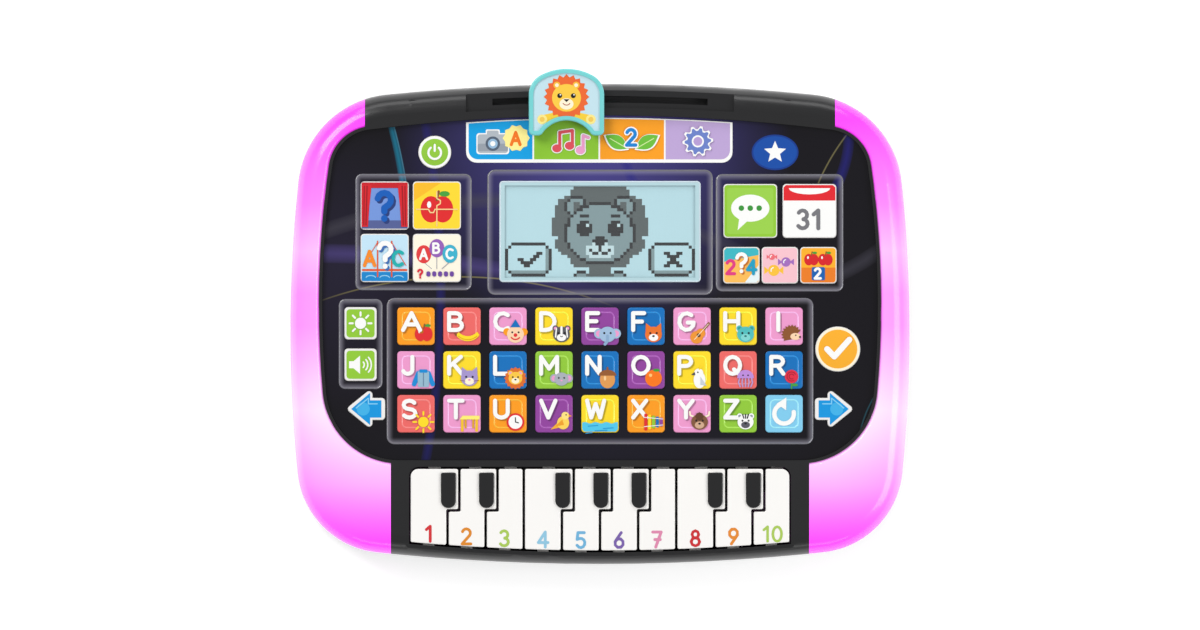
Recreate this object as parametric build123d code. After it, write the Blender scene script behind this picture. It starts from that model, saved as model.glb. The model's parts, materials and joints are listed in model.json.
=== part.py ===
"""Kids toy tablet: a flat, two-part case with a recessed touch panel, light-up side grips, a curved
mode slider along its back edge, ten hinged piano keys along its front edge and a battery bay underneath.

The tablet lies on its feet with its face up: X runs to the right, Y to the back edge, Z up. The sizes
below are measured from the middle of the case. The parts are then moved so that the origin is under the
middle of the whole object, slider tag included, on the surface that it stands on. All sizes are in mm.
"""

import math
import os

from build123d import *

# ---- Case ----------------------------------------------------------------------------------------
WIDTH = 265.0  # over both grips
DEPTH = 205.4  # front edge to back edge, without the slider tag
FOOT_HEIGHT = 1.2
Z_SPLIT = 14.0  # where the rear case meets the front case
Z_TOP = 31.0  # top of the case rim
WALL = 2.2
EDGE_ROUND = 9.0  # upper outer edge
BASE_ROUND = 8.0  # lower outer edge
LONG_EDGE_RADIUS = 920.0  # plan radius of the front and back edges
SIDE_RADIUS = 600.0
SIDE_MIDDLE_Y = -3.0
BACK_CORNER = 42.0
FRONT_CORNER = 38.0
GAP = 0.12  # between parts that are fitted together

# ---- Panel recess --------------------------------------------------------------------------------
RING_HALF_WIDTH = 120.1  # outside of the thin rim round the touch panel
RING_BACK_Y = 90.6
RING_FRONT_Y = -59.6
RING_BACK_RADIUS = 800.0
RING_SIDE_RADIUS = 420.0
RING_SIDE_MIDDLE_Y = 8.0
RING_BACK_CORNER = 19.5
RING_FRONT_CORNER = 33.0
RIM = 1.4
Z_DECK = 28.0
DECK = 2.0
PANEL = 0.8
GRIP_BACK_X = 100.4  # where the grips end at the back edge
GRIP_FRONT_X = 89.3  # and at the front edge
GRIP_WALL = 2.0

# ---- Screen --------------------------------------------------------------------------------------
SCREEN_Y = 39.5
WINDOW_SIZE = (85.4, 42.9)
GLASS_SIZE = (82.0, 39.6)

# ---- Touch keys ----------------------------------------------------------------------------------
KEY_PROUD = 0.6  # height of a key top over the panel
KEY_TRAVEL = 0.8
KEY_SLIT = 0.15  # between a key and the panel
KEY_FLANGE = 0.8
KEY_ROUND = 1.6
LETTER_SIZE = 16.0
LETTER_PITCH_X = 19.66
LETTER_PITCH_Y = 18.7
LETTER_BACK_Y = -0.95
LETTERS = ("abcdefghi", "jklmnopqr", "stuvwxyz")
ACTIVITY_KEYS = (  # centre x, centre y, size
    (-92.0, 50.6, 20.6),
    (-69.7, 50.6, 20.6),
    (-92.0, 28.2, 20.6),
    (-69.7, 28.2, 20.6),
    (64.2, 48.3, 23.0),
    (89.5, 48.3, 23.0),
    (60.4, 25.1, 15.6),
    (76.85, 25.1, 15.6),
    (93.3, 25.1, 15.6),
)
SETTING_SIZE = 13.8
SETTING_X = -102.3
BRIGHTNESS_Y = 0.3
VOLUME_Y = -17.4
POWER_AT = (-70.6, 73.4)
POWER_RADIUS = 7.0
OK_AT = (101.6, -10.7)
OK_RADIUS = 9.6
ARROW_AT = (99.8, -36.3)  # the right arrow; the left one mirrors it
ARROW_LENGTH = 16.0
ARROW_SPAN = 16.6
ARROW_SHAFT = (5.4, 9.4)  # length, width

# ---- Piano ---------------------------------------------------------------------------------------
PIANO_KEYS = 10
KEY_PITCH = 16.28
KEY_GAP = 1.1
PIANO_BACK_Y = -61.9
PIANO_JOG_Y = -79.6  # where a white key steps sideways round a black one
PIANO_JOG_X = 5.05
JOGS = (1, 2, 4, 5, 6, 8, 9)  # a black key stands between key n and key n + 1
SLOT_EDGE = 5.1  # case edge to the slot's front
SLOT_GAP = 0.95
SLOT_CORNER = 4.2
SLOT_HALF_WIDTH = 81.5
Z_WHITE = 32.0
Z_SKIRT = 22.8
BLACK_SIZE = (6.5, 15.2)
BLACK_PROUD = 1.0
BLACK_SHIFT = 0.4  # from the line between two white keys
BLACK_BACK_Y = -63.4
HINGE_Y = -57.3
HINGE_Z = 23.6
PIN_RADIUS = 1.2
PIN_PLAY = 0.08
HINGE_RIB = 3.0
TAB_WIDTH = 5.3

# ---- Mode slider ---------------------------------------------------------------------------------
TAG_X = -14.3  # second of the four modes
TAG_WIDTH = 32.2
TAG_BACK_Y = 109.0
TAG_FRONT_Y = 80.5
TAG_DOME = 23.5
TAG_THICK = 2.6
TAG_RIM = 0.6
Z_TAG = 31.6
TRACK_END_X = 57.3
TRACK_FRONT_Y = 92.4
Z_TRACK = 28.5
TRACK_WALL = 1.8
TRACK_FLOOR_BACK_Y = 99.7  # further back, the floor would stand out of the rounded edge
TRACK_WALL_BACK_Y = 97.5
SLOT_Y = 96.0  # middle of the track's slot, on the case's middle line
SLOT_WIDTH = 2.8
MODE_STEP = 28.25  # from one mode to the next
SLIDER_FLOOR = 2.2

# ---- Inside --------------------------------------------------------------------------------------
BOARD = 1.6
Z_BOARD = 20.2
DOME_TOP = 23.3
DOME_SHEET = 0.6
SCREWS_AT = ((80.0, 92.6), (114.4, 30.0), (113.4, -29.0), (86.1, -80.0))  # each on both sides
BOSS_RADIUS = 3.2
SCREW_RADIUS = 1.2
BOARD_POSTS_AT = ((48.6, 20.0), (48.6, 60.0), (60.0, -51.4))
BATTERY_Y = 8.0
BATTERY_RADIUS = 7.15
BATTERY_LENGTH = 50.2
BAY_SIZE = (59.0, 47.0)
BAY_WALL = 2.0
BAY_TOP = 18.3
DOOR_SIZE = (62.0, 50.0)
DOOR_THICK = 1.8
TONGUE = (14.0, 9.0)
SPEAKER_AT = (-72.0, 22.0)
SPEAKER_RADIUS = 20.0
LED_BOARD_X = 125.3
PIANO_BOARD_Z = 16.0

Z_FLOOR = FOOT_HEIGHT + WALL
Z_PANEL = Z_DECK + PANEL
Z_KEY_TOP = Z_PANEL + KEY_PROUD
Z_KEY_FLANGE = Z_DECK - 0.2 - 1.0
SIDES = (-1, 1)


# ---- Helpers -------------------------------------------------------------------------------------
def prism(face, low, high):
    """The face, drawn on the XY plane, as a solid from low to high."""
    return extrude(Pos(0, 0, low) * face, amount=high - low, dir=(0, 0, 1))


def rounded(width, height, radius, x=0.0, y=0.0):
    return Pos(x, y) * RectangleRounded(width, height, radius)


def disc(x, y, radius):
    return Pos(x, y) * Circle(radius)


def column(x, y, radius, low, high):
    return prism(disc(x, y, radius), low, high)


def edges_at(solid, height):
    """The edges of a solid that lie flat at one height."""
    low, high = height - 0.01, height + 0.01
    return [e for e in solid.edges() if low < e.bounding_box().min.Z and e.bounding_box().max.Z < high]


def as_solids(*shapes):
    """One node of separate solids."""
    return Compound([solid for shape in shapes for solid in shape.solids()])


# ---- Outlines ------------------------------------------------------------------------------------
def rounded_by_position(face, back_radius, front_radius):
    """Rounds the two back corners and the two front corners of a four-sided outline."""
    back = [v for v in face.vertices() if v.Y > 0]
    face = fillet(back, back_radius)
    front = [v for v in face.vertices() if v.Y < -45 and abs(v.X) > 60]
    return fillet(front, front_radius)


def case_outline(inset=0.0):
    """The case seen from above, or a line inside it at one distance from the edge."""
    back = disc(0, DEPTH / 2 - LONG_EDGE_RADIUS, LONG_EDGE_RADIUS - inset)
    front = disc(0, LONG_EDGE_RADIUS - DEPTH / 2, LONG_EDGE_RADIUS - inset)
    left = disc(SIDE_RADIUS - WIDTH / 2, SIDE_MIDDLE_Y, SIDE_RADIUS - inset)
    right = disc(WIDTH / 2 - SIDE_RADIUS, SIDE_MIDDLE_Y, SIDE_RADIUS - inset)
    return rounded_by_position(back & front & left & right, BACK_CORNER - inset, FRONT_CORNER - inset)


def ring_outline(inset=0.0):
    """The outside of the rim round the touch panel, or a line inside it."""
    back = disc(0, RING_BACK_Y - RING_BACK_RADIUS, RING_BACK_RADIUS - inset)
    left = disc(RING_SIDE_RADIUS - RING_HALF_WIDTH, RING_SIDE_MIDDLE_Y, RING_SIDE_RADIUS - inset)
    right = disc(RING_HALF_WIDTH - RING_SIDE_RADIUS, RING_SIDE_MIDDLE_Y, RING_SIDE_RADIUS - inset)
    above = Pos(0, RING_FRONT_Y + inset + 100) * Rectangle(2 * WIDTH, 200)
    return rounded_by_position(back & left & right & above, RING_BACK_CORNER - inset, RING_FRONT_CORNER - inset)


OUTLINE = case_outline()
RING = ring_outline()
RECESS = ring_outline(RIM)


def grip_region(gap):
    """Both crescents between the case outline and the panel's rim, left and right of the middle columns."""
    back = Pos(0, DEPTH / 2) * Rectangle(2 * (GRIP_BACK_X + gap), DEPTH)
    front = Pos(0, -DEPTH / 2) * Rectangle(2 * (GRIP_FRONT_X + gap), DEPTH)
    return OUTLINE - ring_outline(-gap) - back - front


def slot_face():
    """The piano's slot: straight at the back, and parallel to the case's front edge."""
    inner = case_outline(SLOT_EDGE)
    top = PIANO_BACK_Y + SLOT_GAP
    window = Pos(0, top - 50) * Rectangle(2 * SLOT_HALF_WIDTH, 100)
    face = inner & window
    return fillet([v for v in face.vertices() if v.Y > top - 1], SLOT_CORNER)


SLOT = slot_face()


# ---- Touch keys ----------------------------------------------------------------------------------
def square_key(x, y, size):
    flange = Pos(x, y) * Rectangle(size, size + 2 * KEY_FLANGE)
    return rounded(size, size, KEY_ROUND, x, y), flange, (x, y)


def round_key(x, y, radius):
    return disc(x, y, radius), disc(x, y, radius + KEY_FLANGE), (x, y)


def arrow_key(direction):
    """A block arrow with rounded corners, pointing along direction in X."""
    shaft_length, shaft_width = ARROW_SHAFT
    tip, tail = ARROW_LENGTH / 2, -ARROW_LENGTH / 2
    neck = tail + shaft_length
    half = ARROW_SPAN / 2 + 0.9
    points = [
        (tip + 0.8, 0),
        (neck, half),
        (neck, shaft_width / 2),
        (tail, shaft_width / 2),
        (tail, -shaft_width / 2),
        (neck, -shaft_width / 2),
        (neck, -half),
    ]
    face = make_face(Polyline(points, close=True))
    outer = [v for v in face.vertices() if abs(v.Y) > shaft_width / 2 + 0.1 or abs(v.X - neck) > 0.1]
    face = fillet(outer, 1.5)
    x, y = direction * ARROW_AT[0], ARROW_AT[1]
    if direction < 0:
        face = Rot(0, 0, 180) * face
    face = Pos(x, y) * face
    return face, offset(face, amount=KEY_FLANGE), (x, y)


def letter_at(row, column_index):
    x = (column_index - 4) * LETTER_PITCH_X
    return x, LETTER_BACK_Y - row * LETTER_PITCH_Y


def touch_keys():
    """Every key that moves by itself: name to (face, flange face, centre)."""
    keys = {}
    for row, letters in enumerate(LETTERS):
        for index, letter in enumerate(letters):
            keys[f"key_{letter}"] = square_key(*letter_at(row, index), LETTER_SIZE)
    keys["key_repeat"] = square_key(*letter_at(2, 8), LETTER_SIZE)
    keys["key_brightness"] = square_key(SETTING_X, BRIGHTNESS_Y, SETTING_SIZE)
    keys["key_volume"] = square_key(SETTING_X, VOLUME_Y, SETTING_SIZE)
    keys["key_power"] = round_key(*POWER_AT, POWER_RADIUS)
    keys["key_ok"] = round_key(*OK_AT, OK_RADIUS)
    keys["key_previous"] = arrow_key(-1)
    keys["key_next"] = arrow_key(1)
    return keys


def touch_key(face, flange, centre):
    """A hollow cap with a flange under the panel and a post over its dome."""
    cap = prism(face, Z_KEY_FLANGE, Z_KEY_TOP)
    cap = fillet(edges_at(cap, Z_KEY_TOP), 0.4)
    cap += prism(flange, Z_KEY_FLANGE, Z_KEY_FLANGE + 1.0)
    pocket = prism(offset(face, amount=-1.3), Z_KEY_FLANGE, Z_KEY_TOP - 1.2)
    post = column(*centre, 2.0, DOME_TOP + KEY_TRAVEL + 0.3, Z_KEY_TOP - 1.0)
    return cap - pocket + post


KEYS = touch_keys()
ACTIVITY = [square_key(*spec) for spec in ACTIVITY_KEYS]


# ---- Panel, window and screen --------------------------------------------------------------------
def touch_panel():
    face = ring_outline(RIM + GAP)
    face -= rounded(WINDOW_SIZE[0] + 2 * GAP, WINDOW_SIZE[1] + 2 * GAP, 1.6, 0, SCREEN_Y)
    for shape, _, _ in [*KEYS.values(), *ACTIVITY]:
        face -= offset(shape, amount=KEY_SLIT)
    return prism(face, Z_DECK, Z_PANEL)


def screen_window():
    lens = prism(rounded(*WINDOW_SIZE, 1.5, 0, SCREEN_Y), Z_DECK, Z_PANEL)
    return fillet(edges_at(lens, Z_PANEL), 0.25)


def lcd_module():
    """Glass behind the window, its carrier under the deck and the rubber strip that joins it to the board."""
    z_carrier = Z_DECK - DECK - 0.1
    glass = prism(Pos(0, SCREEN_Y) * Rectangle(*GLASS_SIZE), z_carrier, Z_DECK - 0.1)
    carrier = prism(Pos(0, SCREEN_Y) * Rectangle(92, 50), z_carrier - 1.6, z_carrier)
    strip = prism(Pos(0, SCREEN_Y - 22) * Rectangle(GLASS_SIZE[0], 2), Z_BOARD + BOARD, z_carrier - 1.6)
    return as_solids(glass, carrier, strip)


# ---- Front case ----------------------------------------------------------------------------------
def upper_body():
    """The whole upper shape of the case, which the front case and both grips are cut from."""
    return fillet(edges_at(prism(OUTLINE, Z_SPLIT, Z_TOP), Z_TOP), EDGE_ROUND)


def upper_hollow():
    hollow = prism(case_outline(WALL), Z_SPLIT, Z_TOP - WALL)
    return fillet(edges_at(hollow, Z_TOP - WALL), EDGE_ROUND - WALL)


def track_arc(y_low, y_high, x_end):
    """A band that follows the back edge, between two distances from the case's middle, as far as x_end."""
    centre = DEPTH / 2 - LONG_EDGE_RADIUS
    band = disc(0, centre, y_high - centre) - disc(0, centre, y_low - centre)
    return band & (Pos(0, y_high - 20) * Rectangle(2 * x_end, 60))


def deck_windows():
    """Openings under the groups of keys. The panel holds the keys, and the deck carries the panel."""
    letters_low = letter_at(2, 0)[1] - LETTER_SIZE / 2 - 1.8
    letters_high = LETTER_BACK_Y + LETTER_SIZE / 2 + 1.5
    letters_half = 4 * LETTER_PITCH_X + LETTER_SIZE / 2 + 1.5
    windows = Pos(0, (letters_low + letters_high) / 2) * Rectangle(2 * letters_half, letters_high - letters_low)
    for group in (ACTIVITY_KEYS[:4], ACTIVITY_KEYS[4:]):
        low_x = min(x - s / 2 for x, _, s in group) - 1.3
        high_x = max(x + s / 2 for x, _, s in group) + 1.3
        low_y = min(y - s / 2 for _, y, s in group) - 1.4
        high_y = max(y + s / 2 for _, y, s in group) + 1.4
        windows += Pos((low_x + high_x) / 2, (low_y + high_y) / 2) * Rectangle(high_x - low_x, high_y - low_y)
    setting_y = (BRIGHTNESS_Y + VOLUME_Y) / 2
    windows += Pos(SETTING_X, setting_y) * Rectangle(
        SETTING_SIZE + 2.2, BRIGHTNESS_Y - VOLUME_Y + SETTING_SIZE + 2.4
    )
    for name in ("key_power", "key_ok", "key_previous", "key_next"):
        windows += offset(KEYS[name][1], amount=0.7)
    windows += Pos(0, SCREEN_Y) * Rectangle(GLASS_SIZE[0] + 0.4, GLASS_SIZE[1] + 0.4)
    return windows


def hinge_rib(x):
    """A rib under the deck with a snap-in seat for the pins of the piano keys on both its sides."""
    top = Z_DECK - DECK
    rib = Pos(x, HINGE_Y, (top + 21.4) / 2) * Box(HINGE_RIB, 4.6, top - 21.4)
    seat_radius = PIN_RADIUS + PIN_PLAY
    seat = Pos(x, HINGE_Y, HINGE_Z) * Rot(0, 90, 0) * Cylinder(seat_radius, HINGE_RIB)
    mouth = Pos(x, HINGE_Y, HINGE_Z - 1.5) * Box(HINGE_RIB, 1.7, 3.0)
    return rib - seat - mouth


def front_bosses():
    bosses = None
    for x, y in SCREWS_AT:
        top = Z_DECK - DECK if abs(x) > 100 else Z_TOP - WALL + 0.6
        for side in SIDES:
            boss = column(side * x, y, BOSS_RADIUS, Z_SPLIT, top)
            bosses = boss if bosses is None else bosses + boss
    return bosses


def front_case():
    case = upper_body() - upper_hollow()
    case -= prism(grip_region(0), Z_SPLIT, Z_TOP)
    case += prism(RING, Z_DECK - DECK, Z_DECK)
    case += prism(RING - RECESS, Z_DECK - DECK, Z_TOP - 1)
    track_end = TRACK_END_X + TRACK_WALL
    floor = track_arc(TRACK_FRONT_Y - TRACK_WALL, TRACK_FLOOR_BACK_Y, track_end)
    case += prism(floor, Z_TRACK - SLIDER_FLOOR, Z_TRACK)
    case += prism(track_arc(TRACK_FRONT_Y - TRACK_WALL, TRACK_WALL_BACK_Y, track_end), Z_TRACK, Z_TOP - 1)
    well = offset(SLOT, amount=1.6) & case_outline(WALL)
    case += prism(well, Z_DECK - DECK + 0.2, Z_TOP - 1)
    case -= prism(RECESS, Z_DECK, Z_TOP)
    case -= prism(deck_windows(), Z_DECK - DECK, Z_DECK)
    case -= prism(SLOT, Z_SPLIT, Z_TOP)
    case -= prism(track_arc(TRACK_FRONT_Y, TRACK_FRONT_Y + 20, TRACK_END_X), Z_TRACK, Z_TOP)
    slot_end = 1.5 * MODE_STEP + 3.6
    slider_slot = track_arc(SLOT_Y - SLOT_WIDTH / 2, SLOT_Y + SLOT_WIDTH / 2, slot_end)
    case -= prism(slider_slot, Z_TRACK - SLIDER_FLOOR, Z_TRACK)
    case += front_bosses()
    for x, y in BOARD_POSTS_AT:
        for side in SIDES:
            case += column(side * x, y, 2.2, Z_BOARD + BOARD, Z_DECK - DECK)
    for side in SIDES:
        case += column(side * 52, 94.2, 2.0, 22.6, Z_TRACK - SLIDER_FLOOR)
    for n in range(PIANO_KEYS + 1):
        case += hinge_rib((n - PIANO_KEYS / 2) * KEY_PITCH)
    for x, y in SCREWS_AT:
        for side in SIDES:
            case -= column(side * x, y, SCREW_RADIUS + 0.06, Z_SPLIT, Z_DECK - DECK - 2.5)
    return case


# ---- Light-up grips ------------------------------------------------------------------------------
def light_grip(side):
    """A translucent channel along one side of the case, open below, with lugs under the deck."""
    region = [f for f in grip_region(GAP).faces() if side * f.center().X > 0][0]
    shell = prism(region, Z_SPLIT, Z_TOP) & upper_body()
    rim_edges = [
        e
        for e in edges_at(shell, Z_TOP)
        if abs(e.center().X) > GRIP_FRONT_X + 1 and abs(e.center().X) < RING_HALF_WIDTH + 0.5
    ]
    inner_edges = [e for e in rim_edges if not (abs(e.center().X) < GRIP_BACK_X + 0.3 and e.center().Y > 80)]
    shell = fillet(inner_edges, 1.6)
    channel = prism(offset(region, amount=-GRIP_WALL), Z_SPLIT, Z_TOP - WALL)
    shell -= channel & upper_hollow()
    for y in (56.0, 4.0, -40.0):
        wall = RING_HALF_WIDTH - (y - RING_SIDE_MIDDLE_Y) ** 2 / (2 * RING_SIDE_RADIUS)
        reach = 3.4 if y > -30 else 7.0
        lug = Pos(side * (wall + 1.0 - reach / 2), y, Z_DECK - DECK - 0.8) * Box(reach, 6.0, 1.4)
        shell += lug
    return shell


# ---- Piano keys ----------------------------------------------------------------------------------
def piano_key(number):
    """One white key with a hinge barrel, a stop tab and, on some keys, the black key that stands on it."""
    left, right = ((number - 1 - PIANO_KEYS / 2) * KEY_PITCH, (number - PIANO_KEYS / 2) * KEY_PITCH)
    back_left = left + (PIANO_JOG_X if number - 1 in JOGS else 0)
    back_right = right + (PIANO_JOG_X if number in JOGS else 0)
    half_gap = KEY_GAP / 2
    lower = Pos((left + right) / 2, PIANO_JOG_Y - 20) * Rectangle(KEY_PITCH - KEY_GAP, 40 - KEY_GAP)
    back_width = back_right - back_left - KEY_GAP
    upper_low = PIANO_JOG_Y + half_gap
    upper = Pos((back_left + back_right) / 2, (PIANO_BACK_Y + upper_low) / 2) * Rectangle(
        back_width, PIANO_BACK_Y - upper_low
    )
    shared_left, shared_right = max(left, back_left) + half_gap, min(right, back_right) - half_gap
    neck = Pos((shared_left + shared_right) / 2, PIANO_JOG_Y) * Rectangle(shared_right - shared_left, 2 * KEY_GAP)
    plan = (lower + upper + neck) & case_outline(SLOT_EDGE + SLOT_GAP)
    slot_corner = [v for v in plan.vertices() if v.Y > PIANO_BACK_Y - 0.1 and abs(v.X) > SLOT_HALF_WIDTH - 1]
    plan = fillet([v for v in plan.vertices() if v not in slot_corner], 0.7)
    if slot_corner:
        slot_corner = [v for v in plan.vertices() if v.Y > PIANO_BACK_Y - 0.1 and abs(v.X) > SLOT_HALF_WIDTH - 1]
        plan = fillet(slot_corner, SLOT_CORNER - SLOT_GAP)
    body = prism(plan, Z_SKIRT, Z_WHITE)
    body = fillet(edges_at(body, Z_WHITE), 0.5)
    body -= prism(offset(plan, amount=-1.4), Z_SKIRT, Z_WHITE - 2.0)
    middle_x = (left + right) / 2
    tab_reach = (KEY_PITCH - HINGE_RIB - 0.8 - TAB_WIDTH) / 2
    tab_x = middle_x + max(-tab_reach, min(tab_reach, (back_left + back_right) / 2 - middle_x))
    tab_y = (PIANO_BACK_Y - 1.0 + HINGE_Y) / 2
    body += Pos(tab_x, tab_y, HINGE_Z) * Box(TAB_WIDTH, HINGE_Y - PIANO_BACK_Y + 1.0, 1.6)
    barrel_length = KEY_PITCH - HINGE_RIB - 0.7
    body += Pos(middle_x, HINGE_Y, HINGE_Z) * Rot(0, 90, 0) * Cylinder(1.6, barrel_length)
    body += Pos(middle_x, HINGE_Y, HINGE_Z) * Rot(0, 90, 0) * Cylinder(PIN_RADIUS, KEY_PITCH - 0.6)
    front_y = plan.bounding_box().min.Y
    tab_ends = (middle_x - 2.4, middle_x + 2.4)
    front_arc = [min(abs(x), KEY_PITCH * PIANO_KEYS / 2) ** 2 / (2 * LONG_EDGE_RADIUS) for x in tab_ends]
    tab_front = SLOT_EDGE - DEPTH / 2 + min(front_arc) - 1.1
    stop_depth = front_y + 2.6 - tab_front
    body += Pos(middle_x, tab_front + stop_depth / 2, 24.4) * Box(4.8, stop_depth, 2.8)
    body += column(middle_x, -80.0, 2.0, 20.9, Z_WHITE - 1.0)
    if number not in JOGS:
        return body
    width, length = BLACK_SIZE
    black_x = right + BLACK_SHIFT
    black = Pos(black_x, BLACK_BACK_Y - length / 2) * Rectangle(width, length)
    black = fillet([v for v in black.vertices() if v.Y > BLACK_BACK_Y - 1], 0.8)
    black = fillet([v for v in black.vertices() if v.Y < BLACK_BACK_Y - length + 1], width / 2 - 0.01)
    cap = fillet(edges_at(prism(black, Z_WHITE - 0.5, Z_WHITE + BLACK_PROUD), Z_WHITE + BLACK_PROUD), 0.45)
    body -= prism(black, Z_WHITE - 0.5, Z_WHITE)
    return as_solids(body, cap)


# ---- Mode slider ---------------------------------------------------------------------------------
def mode_slider():
    """The tag over the back edge, its stem through the curved slot and the shoe that keeps it in."""
    height = TAG_BACK_Y - TAG_FRONT_Y
    tag = Pos(TAG_X, TAG_FRONT_Y + height / 2) * Rectangle(TAG_WIDTH, height)
    tag &= disc(TAG_X, TAG_BACK_Y - TAG_DOME, TAG_DOME)
    tag = fillet([v for v in tag.vertices() if v.Y > TAG_BACK_Y - height / 2], 9.5)
    tag -= disc(TAG_X, TAG_FRONT_Y - 6.0, 12.4)
    tag = fillet([v for v in tag.vertices() if v.Y < TAG_FRONT_Y + 8], 2.2)
    body = prism(tag, Z_TAG, Z_TAG + TAG_THICK + TAG_RIM)
    body = fillet(edges_at(body, Z_TAG + TAG_THICK + TAG_RIM), 0.7)
    body -= prism(offset(tag, amount=-1.9), Z_TAG + TAG_THICK, Z_TAG + TAG_THICK + TAG_RIM)
    stem = Pos(TAG_X, slot_y(TAG_X)) * Rectangle(6.0, SLOT_WIDTH - 0.7)
    foot = Pos(TAG_X, slot_y(TAG_X)) * Rectangle(9.0, 5.6)
    shoe = Pos(TAG_X, slot_y(TAG_X)) * Rectangle(10.0, 6.0)
    body += prism(stem, 24.4, Z_TAG)
    body += prism(foot, Z_TRACK + 0.2, Z_TAG)
    body += prism(shoe, 24.4, Z_TRACK - SLIDER_FLOOR - 0.2)
    return body


def slot_y(x):
    """The y of the slider slot's middle line at x."""
    centre = DEPTH / 2 - LONG_EDGE_RADIUS
    return centre + math.sqrt((SLOT_Y - centre) ** 2 - x**2)


# ---- Rear case -----------------------------------------------------------------------------------
def door_face(gap):
    """The door with its screw tongue, grown by a gap for the opening."""
    plate = Pos(0, BATTERY_Y) * Rectangle(DOOR_SIZE[0] + 2 * gap, DOOR_SIZE[1] + 2 * gap)
    tongue_y = BATTERY_Y + DOOR_SIZE[1] / 2 + TONGUE[1] / 2 - 1
    tongue = Pos(0, tongue_y) * Rectangle(TONGUE[0] + 2 * gap, TONGUE[1] + 2 + 2 * gap)
    return plate + tongue


DOOR_SCREW_Y = BATTERY_Y + DOOR_SIZE[1] / 2 + 4.6


def grille_holes(pitch=5.0, rings=3):
    """A hexagonal pattern of round holes under the speaker."""
    spots = []
    for row in range(-rings, rings + 1):
        count = 2 * rings + 1 - abs(row)
        for n in range(count):
            x = (n - (count - 1) / 2) * pitch
            spots.append((SPEAKER_AT[0] + x, SPEAKER_AT[1] + row * pitch * math.sqrt(3) / 2))
    return spots


def rear_case():
    shell = prism(OUTLINE, FOOT_HEIGHT, Z_SPLIT)
    shell = fillet(edges_at(shell, FOOT_HEIGHT), BASE_ROUND)
    hollow = prism(case_outline(WALL), Z_FLOOR, Z_SPLIT)
    shell -= fillet(edges_at(hollow, Z_FLOOR), BASE_ROUND - WALL)
    bay = Pos(0, BATTERY_Y) * Rectangle(*BAY_SIZE)
    bay_outer = Pos(0, BATTERY_Y) * Rectangle(BAY_SIZE[0] + 2 * BAY_WALL, BAY_SIZE[1] + 2 * BAY_WALL)
    shell += prism(bay_outer, Z_FLOOR - 0.5, BAY_TOP + 1.4)
    shell += column(0, DOOR_SCREW_Y, BOSS_RADIUS, Z_FLOOR - 0.5, 12.0)
    shell -= prism(bay, FOOT_HEIGHT, BAY_TOP)
    shell -= prism(door_face(0.15), FOOT_HEIGHT, FOOT_HEIGHT + DOOR_THICK + 0.1)
    shell -= column(0, DOOR_SCREW_Y, SCREW_RADIUS + 0.08, FOOT_HEIGHT, 10.5)
    for x, y in SCREWS_AT:
        for side in SIDES:
            shell += column(side * x, y, BOSS_RADIUS + 0.6, Z_FLOOR - 1, Z_SPLIT)
    for x, y in SCREWS_AT:
        for side in SIDES:
            shell -= column(side * x, y, 1.6, 0, Z_SPLIT)
            shell -= column(side * x, y, 3.0, 0, 7.0)
    ring = disc(*SPEAKER_AT, SPEAKER_RADIUS + 1.9) - disc(*SPEAKER_AT, SPEAKER_RADIUS + 0.3)
    shell += prism(ring, Z_FLOOR - 0.5, Z_FLOOR + 4)
    for x, y in grille_holes():
        shell -= column(x, y, 1.2, FOOT_HEIGHT, Z_FLOOR)
    for side in SIDES:
        for y in (-30.0, 30.0):
            shell += column(side * LED_BOARD_X, y, 2.0, Z_FLOOR - 1, 15.0)
        shell += column(side * 68, -78, 2.5, Z_FLOOR - 1, PIANO_BOARD_Z)
        for y in (72.0, -72.0):
            shell += column(side * 88, y, 7.0, 0, FOOT_HEIGHT + 1)
    return shell


def battery_door():
    """The door plate with its captive screw, which goes with it when it comes off."""
    z_low, z_high = FOOT_HEIGHT + 0.05, FOOT_HEIGHT + DOOR_THICK
    plate = prism(door_face(0), z_low, z_high)
    for n in range(5):
        plate -= Pos(0, BATTERY_Y - 19 + 2.4 * n, z_low) * Box(18.0, 1.0, 0.8)
    plate -= column(0, DOOR_SCREW_Y, SCREW_RADIUS + 0.15, z_low, z_high)
    plate -= column(0, DOOR_SCREW_Y, 2.7, z_low, z_low + 0.9)
    shank = column(0, DOOR_SCREW_Y, SCREW_RADIUS, z_low + 0.9, 9.5)
    screw = column(0, DOOR_SCREW_Y, 2.5, z_low + 0.1, z_low + 0.9) + shank
    return as_solids(plate, screw)


# ---- Electronics ---------------------------------------------------------------------------------
def board_face():
    return ring_outline(9.6) & (Pos(0, 13.8) * Rectangle(2 * RING_HALF_WIDTH, 135.6))


def main_board():
    """The board under the touch keys, with its processor and two capacitors on the lower side."""
    board = prism(board_face(), Z_BOARD, Z_BOARD + BOARD)
    chip = prism(rounded(14, 14, 1.5, 52, 15), Z_BOARD - 1.8, Z_BOARD)
    small_chip = prism(rounded(8, 6, 0.8, 74, 15), Z_BOARD - 1.4, Z_BOARD)
    capacitors = [column(45 + 9 * n, -12, 3.0, Z_BOARD - 7, Z_BOARD) for n in range(2)]
    return as_solids(board, chip, small_chip, *capacitors)


def daughter_boards():
    """Light strips inside both grips, the contact board under the piano and the one under the mode slider."""
    boards = []
    for side in SIDES:
        strip = prism(Pos(side * LED_BOARD_X, 0) * Rectangle(5, 80), 15.0, 16.2)
        for n in range(6):
            strip += Pos(side * LED_BOARD_X, (n - 2.5) * 14, 16.7) * Box(3, 3, 1.0)
        boards.append(strip)
    boards.append(prism(Pos(0, -78) * Rectangle(156, 24), PIANO_BOARD_Z, PIANO_BOARD_Z + BOARD))
    boards.append(prism(Pos(0, 94.2) * Rectangle(110, 6), 21.4, 22.6))
    return as_solids(*boards)


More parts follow.
